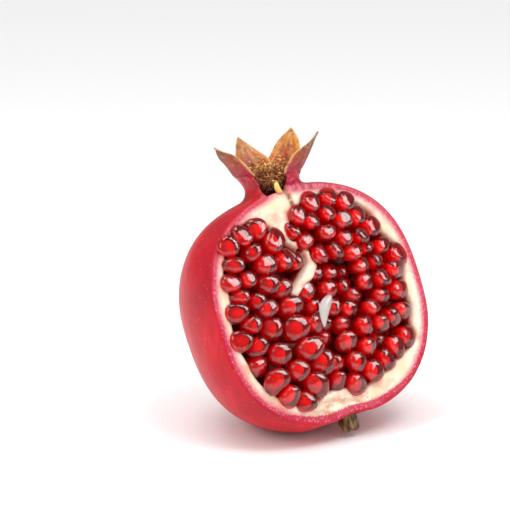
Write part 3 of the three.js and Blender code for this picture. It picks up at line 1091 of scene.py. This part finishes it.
@dataclass(frozen=True)
class Stamens:
    """The dry filaments and anthers that fill the calyx tube.

    Args:
        place: puts them in the model.
        count: filaments tried; those that the knife took are dropped.
        steps: rings along a filament.
        sides: points round each ring.
    """

    place: FaceFrame
    count: int = 300
    steps: int = 12
    sides: int = 5

    def paths(self, rng: np.random.Generator) -> Array:
        """Curled paths that start on the bore's wall and wander inwards and up.

        Each path is a straight run with three sine waves laid over it, one, two and three to its
        length. It's kept inside the bore, and its top is flattened softly.

        Args:
            rng: source of the differences between filaments.

        Returns:
            The paths, as (filament, step, 3), in the crown frame.
        """
        n = self.count
        foot = rng.uniform(-1.0, 6.8, n)
        angle = rng.uniform(0, 2 * math.pi, n)
        radius = bore_radius(foot) - 0.2
        length = rng.uniform(5.0, 8.5, n)
        s = np.linspace(0, 1, self.steps)[None, :]
        inward = rng.uniform(0.35, 1.0, n)[:, None]
        lift = rng.uniform(0.2, 0.9, n)[:, None]
        swirl = rng.normal(0, 0.5, n)[:, None]
        r = radius[:, None] - length[:, None] * inward * s * 0.85
        turn = angle[:, None] + swirl * s
        z = foot[:, None] + length[:, None] * lift * s
        path = np.stack((r * np.cos(turn), r * np.sin(turn), z), -1)
        for wave in (1, 2, 3):
            push = rng.normal(0, 0.85 / wave, (n, 1, 3))
            phase = rng.uniform(0, 2 * math.pi, (n, 1, 3))
            path = path + push * (np.sin(phase + s[..., None] * wave * 3.1) - np.sin(phase))
        r = np.linalg.norm(path[..., :2], axis=-1)
        limit = bore_radius(np.minimum(path[..., 2], 7)) - 0.3
        path[..., :2] *= np.minimum(1, limit / np.maximum(r, 1e-6))[..., None]
        peak = rng.uniform(6.0, 12.0, n)[:, None]
        over = np.maximum(path[..., 2] - peak, 0)
        path[..., 2] = np.maximum(path[..., 2] - over + 1.5 * np.tanh(over / 4), -1.6)
        return path

    def tubes(self, path: Array, radius: Array) -> tuple[Array, Array]:
        """Sweeps a small ring along every path at once.

        Args:
            path: the paths, as (filament, step, 3).
            radius: the rings' radii, as (filament, step).

        Returns:
            The points and faces.
        """
        n, steps, _ = path.shape
        along = np.gradient(path, axis=1)
        along /= np.linalg.norm(along, axis=-1, keepdims=True) + 1e-9
        side = np.cross(along, (0.31, 0.87, 0.38))
        side /= np.linalg.norm(side, axis=-1, keepdims=True) + 1e-9
        up = np.cross(along, side)
        a = np.linspace(0, 2 * math.pi, self.sides, endpoint=False)
        ring = np.cos(a)[:, None] * side[:, :, None] + np.sin(a)[:, None] * up[:, :, None]
        rings = path[:, :, None] + ring * radius[:, :, None, None]
        return joined([loft(one) for one in rings])

    def build(self, material: bpy.types.Material) -> None:
        """Makes one object of filaments and anthers, with a tone for each.

        Args:
            material: dry golden brown.
        """
        rng = np.random.default_rng(SEED + 7)
        path = self.paths(rng)
        forward = from_crown(path)[..., 1].min(1)
        out = path[..., 0] * math.cos(CROWN.tear_turn) + path[..., 1] * math.sin(CROWN.tear_turn)
        keep = (forward > CUT.front - 4.5) & (out.max(1) < 7.5)
        path = path[keep]
        n = len(path)
        thin = np.linspace(1.0, 0.6, self.steps)[None, :] * rng.uniform(0.13, 0.23, n)[:, None]
        points, faces = self.tubes(path, thin)
        tone = np.repeat(rng.uniform(0, 1, n), len(points) // n)
        tip = path[:, -1]
        aim = path[:, -1] - path[:, -3]
        aim /= np.linalg.norm(aim, axis=1, keepdims=True)
        reach = np.linspace(-0.75, 0.75, 6)[None, :, None] * rng.uniform(0.7, 1.2, n)[:, None, None]
        stems = tip[:, None] + aim[:, None] * reach
        plump = np.sqrt(1 - np.linspace(-0.95, 0.95, 6) ** 2)[None, :]
        anthers = self.tubes(stems, plump * rng.uniform(0.30, 0.52, n)[:, None])
        count = len(points)
        points, faces = joined([(points, faces), anthers])
        tone = np.concatenate((tone, np.repeat(rng.uniform(0, 1, n), (len(points) - count) // n)))
        piece = Piece("stamens_filaments", from_crown(points), faces, self.place)
        piece.attribute("tone", tone)
        piece.attribute("anther", (np.arange(len(points)) >= count).astype(float))
        piece.attribute("rise", points[:, 2])
        piece.finish(material, "stamen", "stamens")


# ---------------------------------------------------------------- small pieces


@dataclass(frozen=True)
class StyleStump:
    """The yellow stump of the style, a bent tapering rod with a frayed top.

    Args:
        place: puts it in the model.
        low, high: heights of its foot and its top over the neck, in millimetres.
        foot_radius, top_radius: its radii there.
        foot: where it stands across the tube, in the crown frame.
    """

    place: FaceFrame
    low: float = -2.2
    high: float = 2.6
    foot_radius: float = 1.4
    top_radius: float = 0.85
    foot: tuple[float, float] = (-1.2, -6.6)

    def build(self, material: bpy.types.Material) -> None:
        """Lofts rings whose radius shrinks with height, with three soft ribs and seven fine ones.

        Args:
            material: yellow, soft.
        """
        length = self.high - self.low
        rise = np.linspace(self.low, self.high, 18)[:, None]
        a = np.linspace(0, 2 * math.pi, 20, endpoint=False)[None, :]
        share = (rise - self.low) / length
        radius = self.foot_radius * (1 - share) + self.top_radius * share
        radius = radius + 0.12 * np.sin(3 * a + 2 * rise) + 0.06 * np.sin(7 * a)
        rings = np.stack((
            radius * np.cos(a) - 0.30 * rise + self.foot[0],
            radius * np.sin(a) * 0.8 + self.foot[1] + 0.10 * rise,
            rise + 0.35 * share * np.sin(2 * a + 1),
        ), -1)
        points, faces = loft(rings)
        piece = Piece("style_stump", from_crown(points), faces, self.place)
        piece.attribute("along", (points[:, 2] - self.low) / length)
        piece.finish(material, "style", "style")


@dataclass(frozen=True)
class StalkStub:
    """The woody stalk stub: ridged, swollen in the middle and snapped off unevenly.

    Args:
        place: puts it in the model.
        length: how far it stands out, in millimetres.
        buried: how far it reaches into the fruit.
        radius: its radius where it leaves the fruit.
        offset: its shift from the bottom of the dimple.
    """

    place: FaceFrame
    length: float = 7.4
    buried: float = 2.0
    radius: float = 3.1
    offset: tuple[float, float, float] = (1.4, -0.3, 0.6)

    def build(self, material: bpy.types.Material) -> None:
        """Lofts rings that swell in the middle, narrow to the break and carry fine ridges.

        Args:
            material: dry wood.
        """
        down = np.linspace(-self.buried, self.length, 40)[:, None]
        a = np.linspace(0, 2 * math.pi, 48, endpoint=False)[None, :]
        share = np.clip(down / self.length, 0, 1)
        ridge = 0.16 * np.cos(5 * a + 0.3 * down) + 0.07 * np.cos(11 * a + 0.8 * down)
        ridge = ridge + 0.05 * np.cos(19 * a)
        waist = self.radius + 0.25 * smooth_step(0.2, 0.5, share) - 0.7 * smooth_step(0.55, 1.0, share)
        shoulder = 0.86
        past = np.maximum(share - shoulder, 0) / (1 - shoulder)
        closing = np.sqrt(1 - 0.75 * past ** 2)
        radius = waist * (1 + ridge) * closing
        drop = down + 0.5 * smooth_step(0.6, 1, share) * np.sin(2 * a + 0.6)
        rings = np.stack((radius * np.cos(a), -radius * np.sin(a), -drop), -1)
        dimple = np.array((BODY.stalk_x, BODY.stalk_y, BODY.dimple_depth - BODY.half_height))
        points, faces = loft(rings)
        piece = Piece("stem_stub_wood", from_stalk(points + (dimple + self.offset)), faces, self.place)
        piece.finish(material, "bark", "stem_stub")


@dataclass(frozen=True)
class MembraneFlap:
    """The torn flap of membrane between the chambers: a thin bent kite, thickest at its root.

    Args:
        place: puts it in the model.
        half_width, length, thick: its extents, in millimetres.
        top: its upper end, the root, as (x, z) on the face.
        forward: how far it stands in front of the knife's plane.
    """

    place: FaceFrame
    half_width: float = 2.3
    length: float = 11.6
    thick: float = 0.55
    top: tuple[float, float] = (1.4, 2.2)
    forward: float = 4.2

    def build(self, material: bpy.types.Material) -> None:
        """Lofts flat rings down the kite; the width is a sine over its length, the face bulges.

        Args:
            material: pale membrane.
        """
        rows, half = 22, 9
        s = np.linspace(0, 1, rows)[:, None]
        t = np.concatenate((np.linspace(-1, 1, half), np.linspace(1, -1, half)))[None, :]
        inner = np.concatenate((np.zeros(half), np.ones(half)))[None, :]
        wide = self.half_width * np.sin(math.pi * s ** 0.8) ** 0.8 + 0.08
        across = t * wide - 1.3 * np.sin(3.1 * s)
        thick = self.thick * (1 - 0.6 * np.abs(t)) * (1.1 - 0.6 * s)
        bulge = 0.9 * (1 - t ** 2) * wide / self.half_width + 0.25 * np.sin(5 * s + 2 * t)
        x = self.top[0] - 4.6 * s + across * 0.90
        z = self.top[1] - self.length * s - across * 0.42
        y = CUT.front - self.forward - bulge + inner * thick + 1.2 * s
        points, faces = loft(np.stack((x, y, z), -1))
        piece = Piece("membrane_flap_sheet", points, faces, self.place)
        piece.attribute("along", np.concatenate(((s + 0 * t).ravel(), (0, 1))))
        piece.finish(material, "membrane", "membrane_flap")


# ---------------------------------------------------------------- materials


Colour = tuple[float, float, float, float]


def tint(red: int, green: int, blue: int) -> Colour:
    """An 8-bit display colour as the linear colour that the shaders take."""
    return tuple(((c / 255 + 0.055) / 1.055) ** 2.4 if c > 10 else c / 255 / 12.92
                 for c in (red, green, blue)) + (1.0,)


class Graph:
    """Makes the nodes of one tree, setting or linking their inputs in the same call."""

    def __init__(self, tree: bpy.types.NodeTree) -> None:
        self.tree = tree

    def node(self, kind: str, inputs: dict | None = None, **settings: object) -> bpy.types.Node:
        """Makes a node.

        Args:
            kind: the node's type.
            inputs: constants or sockets, by the input's name or number.
            settings: the node's own properties.

        Returns:
            The node.
        """
        made = self.tree.nodes.new(kind)
        for key, value in settings.items():
            setattr(made, key, value)
        for key, value in (inputs or {}).items():
            if isinstance(value, bpy.types.NodeSocket):
                self.tree.links.new(value, made.inputs[key])
            else:
                made.inputs[key].default_value = value
        return made

    def attribute(self, name: str) -> bpy.types.NodeSocket:
        """One of the numbers stored on the mesh."""
        return self.node("ShaderNodeAttribute", attribute_name=name).outputs["Fac"]

    def math(self, operation: str, *values: object) -> bpy.types.NodeSocket:
        """Arithmetic on constants and sockets."""
        return self.node("ShaderNodeMath", dict(enumerate(values)), operation=operation).outputs[0]

    def times(self, first: object, second: object) -> bpy.types.NodeSocket:
        """The product of two values."""
        return self.math("MULTIPLY", first, second)

    def step(self, value: object, low: object, high: object) -> bpy.types.NodeSocket:
        """0 at low, 1 at high, a smooth S between."""
        inputs = {"Value": value, "From Min": low, "From Max": high}
        return self.node("ShaderNodeMapRange", inputs, interpolation_type="SMOOTHSTEP").outputs[0]

    def mix(self, share: object, first: object, second: object) -> bpy.types.NodeSocket:
        """The first colour, with a share of the second mixed in."""
        inputs = {0: share, 6: first, 7: second}
        return self.node("ShaderNodeMix", inputs, data_type="RGBA").outputs[2]

    def coordinates(self, stretch: tuple[float, float, float] = (1, 1, 1)) -> bpy.types.NodeSocket:
        """Object coordinates, squeezed or stretched along each axis."""
        place = self.node("ShaderNodeTexCoord").outputs["Object"]
        return self.node("ShaderNodeMapping", {"Vector": place, "Scale": stretch}).outputs[0]

    def noise(self, scale: float, detail: float = 3, vector: object = None) -> bpy.types.NodeSocket:
        """Noise with about `scale` features to the metre."""
        inputs = {"Vector": vector or self.coordinates(), "Scale": scale, "Detail": detail}
        return self.node("ShaderNodeTexNoise", inputs).outputs[0]

    def group(self, kind: "Effect", inputs: dict) -> bpy.types.NodeSocket:
        """Places a shared effect.

        Args:
            kind: the effect.
            inputs: values for its sockets, by name.

        Returns:
            The effect's output.
        """
        made = self.node("ShaderNodeGroup", node_tree=shared_effect(kind))
        for key, value in inputs.items():
            made.inputs[key].default_value = value
        return made.outputs[0]

    def blotch(self, scale: float, low: float, high: float) -> bpy.types.NodeSocket:
        """A mask of soft patches, about `scale` of them to the metre."""
        return self.group(Effect.BLOTCH, {"Scale": scale, "Low": low, "High": high})


class Effect(Enum):
    """The shader effects that several materials share."""

    BLOTCH = "blotch mask"
    GRAIN = "grain normal"


def shared_effect(kind: Effect) -> bpy.types.NodeTree:
    """Returns a shared node group, building it at its first use.

    Args:
        kind: BLOTCH gives a 0 to 1 mask of soft patches; GRAIN gives a normal with fine relief.

    Returns:
        The node group.
    """
    found = bpy.data.node_groups.get(kind.value)
    if found:
        return found
    tree = bpy.data.node_groups.new(kind.value, "ShaderNodeTree")
    graph = Graph(tree)
    wanted = {
        Effect.BLOTCH: (("Scale", 300.0), ("Low", 0.45), ("High", 0.6), ("Stretch", 1.0)),
        Effect.GRAIN: (("Scale", 1500.0), ("Strength", 0.2), ("Height", 0.0002), ("Stretch", 1.0)),
    }[kind]
    for name, value in wanted:
        socket = tree.interface.new_socket(name, in_out="INPUT", socket_type="NodeSocketFloat")
        socket.default_value = value
    out = "NodeSocketFloat" if kind is Effect.BLOTCH else "NodeSocketVector"
    tree.interface.new_socket("Result", in_out="OUTPUT", socket_type=out)
    entry, end = graph.node("NodeGroupInput"), graph.node("NodeGroupOutput")
    place = graph.node("ShaderNodeTexCoord").outputs["Object"]
    stretch = graph.node("ShaderNodeCombineXYZ", {0: 1.0, 1: 1.0, 2: entry.outputs["Stretch"]})
    inputs = {0: place, 1: stretch.outputs[0]}
    place = graph.node("ShaderNodeVectorMath", inputs, operation="MULTIPLY").outputs[0]
    inputs = {"Vector": place, "Scale": entry.outputs["Scale"], "Detail": 4.0}
    noise = graph.node("ShaderNodeTexNoise", inputs).outputs[0]
    if kind is Effect.BLOTCH:
        result = graph.step(noise, entry.outputs["Low"], entry.outputs["High"])
    else:
        inputs = {"Height": noise, "Strength": entry.outputs["Strength"],
                  "Distance": entry.outputs["Height"]}
        result = graph.node("ShaderNodeBump", inputs).outputs[0]
    tree.links.new(result, end.inputs[0])
    return tree


@dataclass(frozen=True)
class Finish:
    """How light meets a surface, apart from its colour.

    Args:
        name: the material's name.
        roughness, specular, coat, coat_roughness: the gloss and the wet layer over it.
        scatter, scatter_radius, scatter_scale: light that wanders under the surface, in metres.
        transmission, ior: how clear it is and how much it bends light.
        grain_scale, grain_strength, grain_height, grain_stretch: fine relief, by GRAIN's inputs.
    """

    name: str
    roughness: float = 0.5
    specular: float = 0.5
    coat: float = 0.0
    coat_roughness: float = 0.1
    scatter: float = 0.0
    scatter_radius: tuple[float, float, float] = (0.004, 0.001, 0.0006)
    scatter_scale: float = 1.0
    transmission: float = 0.0
    ior: float = 1.45
    grain_scale: float = 1500.0
    grain_strength: float = 0.2
    grain_height: float = 0.0002
    grain_stretch: float = 1.0


def material_of(finish: Finish, paint: Callable[[Graph], object],
                absorb: tuple[Colour, float] | None = None) -> bpy.types.Material:
    """A Principled material.

    Args:
        finish: the surface's response.
        paint: makes the colour: a constant or a socket of the graph that it is given.
        absorb: colour and density (per metre) of the absorbing volume, for clear flesh.

    Returns:
        The material.
    """
    material = bpy.data.materials.new(finish.name)
    material.use_nodes = True
    material.node_tree.nodes.clear()
    graph = Graph(material.node_tree)
    normal = graph.group(Effect.GRAIN, {"Scale": finish.grain_scale, "Strength": finish.grain_strength,
                                        "Height": finish.grain_height, "Stretch": finish.grain_stretch})
    shader = graph.node("ShaderNodeBsdfPrincipled", {
        "Base Color": paint(graph), "Roughness": finish.roughness, "IOR": finish.ior,
        "Specular IOR Level": finish.specular, "Coat Weight": finish.coat,
        "Coat Roughness": finish.coat_roughness, "Subsurface Weight": finish.scatter,
        "Subsurface Radius": finish.scatter_radius, "Subsurface Scale": finish.scatter_scale,
        "Transmission Weight": finish.transmission, "Normal": normal,
    })
    end = graph.node("ShaderNodeOutputMaterial", {"Surface": shader.outputs[0]})
    if absorb:
        inputs = {"Color": absorb[0], "Density": absorb[1]}
        volume = graph.node("ShaderNodeVolumeAbsorption", inputs)
        material.node_tree.links.new(volume.outputs[0], end.inputs["Volume"])
    return material


def paint_rind(g: Graph) -> bpy.types.NodeSocket:
    """Skin outside; a magenta line, pink and then cream pith inwards; a mottled calyx tube.

    The stored depth under the uncut skin tells skin from cut face. On the cut face it gives the
    line its width, which grows towards the bottom. The rise over the neck turns the pith into the
    tube's streaky wall. The depth in the pocket reddens the pith as juice stain, and deeper down
    darkens it to near-black maroon: painted shade for the dark gaps between and behind the arils.

    Args:
        g: the material's graph.

    Returns:
        The colour.
    """
    depth, rise, sunk = g.attribute("depth"), g.attribute("rise"), g.attribute("sunk")
    near, bore, upright = g.attribute("stalk_near"), g.attribute("bore"), g.attribute("upright")
    streak = g.noise(260, 4, g.coordinates((1, 1, 0.22)))
    skin = g.mix(g.step(streak, 0.38, 0.66), tint(192, 6, 26), tint(208, 24, 42))
    skin = g.mix(g.blotch(45.0, 0.4, 0.7), skin, tint(170, 10, 32))
    dots = g.node("ShaderNodeTexVoronoi", {"Vector": g.coordinates(), "Scale": 330.0})
    fleck = g.times(g.step(dots.outputs["Distance"], 0.16, 0.08), 0.26)
    skin = g.mix(fleck, skin, tint(222, 130, 120))
    neck = g.times(g.step(rise, -9.0, -2.0), g.step(g.noise(180, 4), 0.42, 0.62))
    skin = g.mix(g.times(neck, 0.7), skin, tint(132, 50, 46))
    tube_skin = g.mix(g.step(g.noise(420, 4, g.coordinates((1, 1, 0.35))), 0.4, 0.62),
                      tint(160, 16, 52), tint(190, 58, 66))
    skin = g.mix(g.step(rise, 0.0, 2.5), skin, tube_skin)

    ragged = g.math("ADD", depth, g.times(g.math("SUBTRACT", g.noise(900, 4), 0.5), 1.7))
    warm = g.blotch(110.0, 0.38, 0.68)
    pith = g.mix(warm, tint(240, 227, 206), tint(234, 208, 170))
    pith = g.mix(g.times(g.blotch(170.0, 0.46, 0.70), 0.65),
                 pith, tint(222, 142, 122))
    edge = g.mix(g.step(ragged, 1.8, 4.4), tint(222, 96, 116), pith)
    stain = g.step(g.noise(420, 5, g.coordinates((0.5, 1, 1))), 0.44, 0.64)
    brown = g.times(g.step(near, 24.0, 8.0), stain)
    edge = g.mix(g.times(brown, 0.7), edge, tint(186, 104, 48))
    low = g.times(g.step(upright, -34.0, -42.0), 1.6)
    speckle = g.mix(g.step(g.noise(1200, 3), 0.53, 0.70), tint(184, 0, 50), tint(226, 96, 132))
    line = g.mix(g.step(g.math("SUBTRACT", ragged, low), 1.5, 2.5), speckle, edge)
    fibre = g.noise(700, 5, g.coordinates((1, 1, 0.4)))
    tube = g.mix(g.step(fibre, 0.42, 0.60), tint(168, 10, 52), tint(214, 84, 104))
    inside = g.mix(g.step(rise, -3.0, -0.4), line, tube)
    rough = g.times(g.attribute("crevice"), g.step(g.noise(420, 4), 0.28, 0.52))
    inside = g.mix(rough, inside, tint(150, 82, 34))
    # Deeper in the pocket the pith reddens as juice stain, then turns near-black maroon: painted shade
    # for the dark gaps behind the arils.
    inside = g.mix(g.step(sunk, 0.8, 3.0), inside, tint(176, 40, 44))
    inside = g.mix(g.step(sunk, 3.0, 6.0), inside, tint(96, 6, 14))
    brown_bore = g.mix(g.step(g.noise(500, 4), 0.4, 0.6), tint(84, 30, 20), tint(150, 84, 44))
    inside = g.mix(g.times(bore, 0.9), inside, brown_bore)
    skin = g.mix(g.times(g.attribute("scratch"), 0.6), skin, tint(146, 96, 82))
    return g.mix(g.step(depth, 0.35, 0.75), skin, inside)


def paint_aril(g: Graph) -> bpy.types.NodeSocket:
    """Red flesh, each seed a little lighter or darker than the next.

    Args:
        g: the material's graph.

    Returns:
        The colour.
    """
    return g.mix(g.attribute("tone"), tint(238, 18, 30), tint(255, 60, 60))


def paint_pip(g: Graph) -> bpy.types.NodeSocket:
    """Pale pink pips with redder and darker patches.

    Args:
        g: the material's graph.

    Returns:
        The colour.
    """
    patch = g.blotch(300.0, 0.36, 0.60)
    flesh = g.mix(patch, tint(255, 176, 172), tint(236, 26, 44))
    dark = g.blotch(260.0, 0.50, 0.70)
    flesh = g.mix(g.times(g.attribute("tone"), 0.6), flesh, tint(255, 196, 190))
    return g.mix(g.times(dark, 0.6), flesh, tint(120, 4, 18))


def paint_sepal(g: Graph) -> bpy.types.NodeSocket:
    """Outer side pink at the foot, rusty, then olive brown at the tip; inner side golden.

    Args:
        g: the material's graph.

    Returns:
        The colour.
    """
    along, across, inner = g.attribute("along"), g.attribute("across"), g.attribute("inner")
    along = g.math("ADD", along, g.times(g.math("SUBTRACT", g.noise(240, 4), 0.5), 0.5))
    outer = g.mix(g.step(along, 0.10, 0.42), tint(164, 30, 56), tint(158, 60, 30))
    outer = g.mix(g.step(along, 0.45, 0.95), outer, tint(98, 74, 36))
    lines = g.node("ShaderNodeCombineXYZ", {0: across, 1: g.times(along, 0.25)}).outputs[0]
    veins = g.step(g.noise(5, 4, lines), 0.40, 0.62)
    within = g.mix(g.step(along, 0.2, 0.9), tint(180, 66, 14), tint(184, 104, 26))
    within = g.mix(g.times(veins, 0.7), within, tint(222, 160, 70))
    middle = g.times(g.step(g.math("ABSOLUTE", across), 0.62, 0.12), g.step(along, 0.85, 0.3))
    within = g.mix(g.times(middle, 0.8), within, tint(146, 18, 12))
    colour = g.mix(inner, outer, within)
    rim = g.step(g.math("ABSOLUTE", across), 0.84, 1.0)
    colour = g.mix(g.times(rim, 0.75), colour, tint(214, 168, 100))
    pale = g.times(g.blotch(620.0, 0.50, 0.66), along)
    colour = g.mix(g.times(pale, 0.6), colour, tint(196, 172, 124))
    mottle = g.blotch(420.0, 0.48, 0.66)
    return g.mix(g.times(mottle, 0.55), colour, tint(96, 44, 22))


def paint_stamen(g: Graph) -> bpy.types.NodeSocket:
    """Rusty filaments and golden anthers, darker down in the tube.

    Args:
        g: the material's graph.

    Returns:
        The colour.
    """
    thread = g.mix(g.attribute("tone"), tint(112, 44, 26), tint(188, 118, 58))
    tip = g.mix(g.attribute("tone"), tint(150, 88, 36), tint(224, 176, 98))
    tone = g.mix(g.attribute("anther"), thread, tip)
    return g.mix(g.step(g.attribute("rise"), 4.0, -1.0), tone, tint(92, 42, 20))


def paint_style(g: Graph) -> bpy.types.NodeSocket:
    """Yellow with an orange foot.

    Args:
        g: the material's graph.

    Returns:
        The colour.
    """
    along = g.math("ADD", g.attribute("along"), g.times(g.noise(500, 3), 0.3))
    return g.mix(g.step(along, 0.2, 0.8), tint(214, 150, 70), tint(240, 214, 120))


def paint_bark(g: Graph) -> bpy.types.NodeSocket:
    """Dry brown wood with tan ridges.

    Args:
        g: the material's graph.

    Returns:
        The colour.
    """
    strand = g.noise(520, 5, g.coordinates((1, 1, 0.3)))
    wood = g.mix(g.step(strand, 0.38, 0.62), tint(66, 44, 26), tint(142, 108, 62))
    return g.mix(g.blotch(380.0, 0.5, 0.7), wood, tint(72, 40, 26))


def paint_membrane(g: Graph) -> bpy.types.NodeSocket:
    """Pale grey pink, lighter towards its tip.

    Args:
        g: the material's graph.

    Returns:
        The colour.
    """
    return g.mix(g.step(g.attribute("along"), 0.0, 0.5), tint(176, 156, 152), tint(194, 184, 180))


@dataclass(frozen=True)
class Palette:
    """The fruit's materials, one for each kind of surface."""

    rind: bpy.types.Material
    aril: bpy.types.Material
    pip: bpy.types.Material
    sepal: bpy.types.Material
    stamen: bpy.types.Material
    style: bpy.types.Material
    bark: bpy.types.Material
    membrane: bpy.types.Material

    @classmethod
    def mixed(cls) -> "Palette":
        """Mixes them all.

        Returns:
            The palette.
        """
        return cls(
            rind=material_of(Finish("pomegranate rind", 0.42, specular=0.25, scatter=0.08, coat=0.10,
                                    coat_roughness=0.28, grain_scale=420, grain_strength=0.30,
                                    grain_height=0.0005), paint_rind),
            aril=material_of(Finish("aril flesh", 0.07, transmission=0.9, ior=1.38, coat=0.9,
                                    coat_roughness=0.04, grain_scale=220, grain_strength=0.14,
                                    grain_height=0.0006),
                             paint_aril, (tint(250, 18, 40), 430.0)),
            pip=material_of(Finish("aril pip", 0.4, scatter=0.2), paint_pip),
            sepal=material_of(Finish("dry calyx lobe", 0.55, grain_scale=700, grain_strength=0.5,
                                     grain_height=0.0005, scatter=0.08), paint_sepal),
            stamen=material_of(Finish("dry stamen", 0.6), paint_stamen),
            style=material_of(Finish("style", 0.4, scatter=0.2), paint_style),
            bark=material_of(Finish("stalk wood", 0.7, grain_scale=900, grain_strength=0.7,
                                    grain_height=0.0006, grain_stretch=0.3), paint_bark),
            membrane=material_of(Finish("membrane", 0.30, coat=0.3), paint_membrane),
        )


# ---------------------------------------------------------------- the fruit


@dataclass(frozen=True)
class Pomegranate:
    """The whole part.

    Args:
        place: puts face-frame shapes in the model.
        arils: every seed of the first layer.
        palette: the materials.
    """

    place: FaceFrame = field(default_factory=FaceFrame.from_cad)
    arils: list[Aril] = field(default_factory=all_arils)
    palette: Palette = field(default_factory=Palette.mixed)

    def build(self) -> None:
        """Builds every piece, from the rind inwards and then the crown and the small ones."""
        log.info("body middle at %s mm", self.place.origin)
        Rind(self.place, self.arils).build(self.palette.rind)
        for chamber in CHAMBERS:
            ArilCluster(chamber, self.arils, self.place).build(self.palette.aril, self.palette.pip)
        for name, lobe in LOBES.items():
            Sepal(name, lobe, self.place).build(self.palette.sepal)
        Stamens(self.place).build(self.palette.stamen)
        StyleStump(self.place).build(self.palette.style)
        StalkStub(self.place).build(self.palette.bark)
        MembraneFlap(self.place).build(self.palette.membrane)


# ---------------------------------------------------------------- the studio


@dataclass(frozen=True)
class Lamp:
    """A square soft light.

    Args:
        name: its name.
        offset: how far it stands to the right, up and towards the camera from the fruit, in metres.
        size: its side, in metres.
        power: in watts.
        gloss_only: whether only gloss shows it.
    """

    name: str
    offset: tuple[float, float, float]
    size: float
    power: float
    gloss_only: bool = False


@dataclass(frozen=True)
class Studio:
    """Floor, light and camera round the part.

    Args:
        target: the point that the camera and the lamps aim at, in metres.
        lamps: the lights.
        forward: the camera's viewing direction.
        distance: from the camera to the target, in metres.
        lens: focal length, in millimetres.
        shift: how far the view is shifted, as a share of its width.
        glow: strength of the surroundings.
        mirrored_glow: their strength in reflections, like dark walls round the soft boxes.
        floor_size: side of the floor, in metres.
    """

    target: Vector
    lamps: tuple[Lamp, ...] = (
        Lamp("key", (0.26, 0.62, 0.42), 0.34, 2.3),
        Lamp("top", (-0.22, 0.72, 0.24), 0.34, 1.5),
        Lamp("left", (-0.56, 0.36, 0.52), 0.34, 1.0),
        Lamp("right", (0.66, 0.42, 0.36), 0.66, 10.0, gloss_only=True),
    )
    forward: Vector = field(default_factory=lambda: Vector((0.512, 0.819, -0.259)).normalized())
    distance: float = 0.803
    lens: float = 150
    shift: tuple[float, float] = (-0.1006, 0.102)
    glow: float = 0.94
    mirrored_glow: float = 0.20
    floor_size: float = 6

    def floor(self) -> None:
        """A pale sheet that the fruit rests on."""
        bpy.ops.mesh.primitive_plane_add(size=self.floor_size, location=(0, 0, -0.0001))
        sheet = bpy.context.object
        sheet.name = "studio_floor"
        paper = Finish("studio paper", 0.8, specular=0.1)
        sheet.data.materials.append(material_of(paper, lambda g: (0.93, 0.93, 0.93, 1.0)))

    def light(self, lamp: Lamp) -> None:
        """Hangs one lamp and aims it at the fruit.

        Args:
            lamp: its place, size and power.
        """
        right = self.forward.cross(Vector((0, 0, 1))).normalized()
        up = right.cross(self.forward)
        across, rise, near = lamp.offset
        place = self.target + right * across + up * rise - self.forward * near
        data = bpy.data.lights.new(lamp.name, "AREA")
        data.size = lamp.size
        data.energy = lamp.power
        light = bpy.data.objects.new(lamp.name, data)
        light.location = place
        light.rotation_euler = (self.target - place).to_track_quat("-Z", "Y").to_euler()
        light.visible_diffuse = not lamp.gloss_only
        bpy.context.scene.collection.objects.link(light)

    def world(self) -> None:
        """Bright surroundings that mirror darker than they shine."""
        world = bpy.data.worlds.new("studio")
        bpy.context.scene.world = world
        world.use_nodes = True
        back = world.node_tree.nodes["Background"]
        back.inputs["Color"].default_value = (1, 1, 1, 1)
        graph = Graph(world.node_tree)
        mirrored = graph.node("ShaderNodeLightPath").outputs["Is Glossy Ray"]
        strength = graph.math("MULTIPLY_ADD", mirrored, self.mirrored_glow - self.glow, self.glow)
        world.node_tree.links.new(strength, back.inputs["Strength"])

    def camera(self) -> None:
        """A long lens at the fruit's height and a little above."""
        data = bpy.data.cameras.new("camera")
        data.lens = self.lens
        data.sensor_width = 36
        data.shift_x, data.shift_y = self.shift
        data.clip_start = 0.01
        camera = bpy.data.objects.new("camera", data)
        camera.location = self.target - self.forward * self.distance
        camera.rotation_euler = self.forward.to_track_quat("-Z", "Y").to_euler()
        bpy.context.scene.collection.objects.link(camera)
        bpy.context.scene.camera = camera

    def build(self) -> None:
        """Sets the whole studio up."""
        self.floor()
        self.world()
        for lamp in self.lamps:
            self.light(lamp)
        self.camera()
        bpy.context.scene.view_settings.view_transform = "Standard"


def main() -> None:
    """Builds the part and its studio."""
    fruit = Pomegranate()
    fruit.build()
    Studio(Vector(fruit.place.origin) * MM).build()


if __name__ == "__main__":
    main()
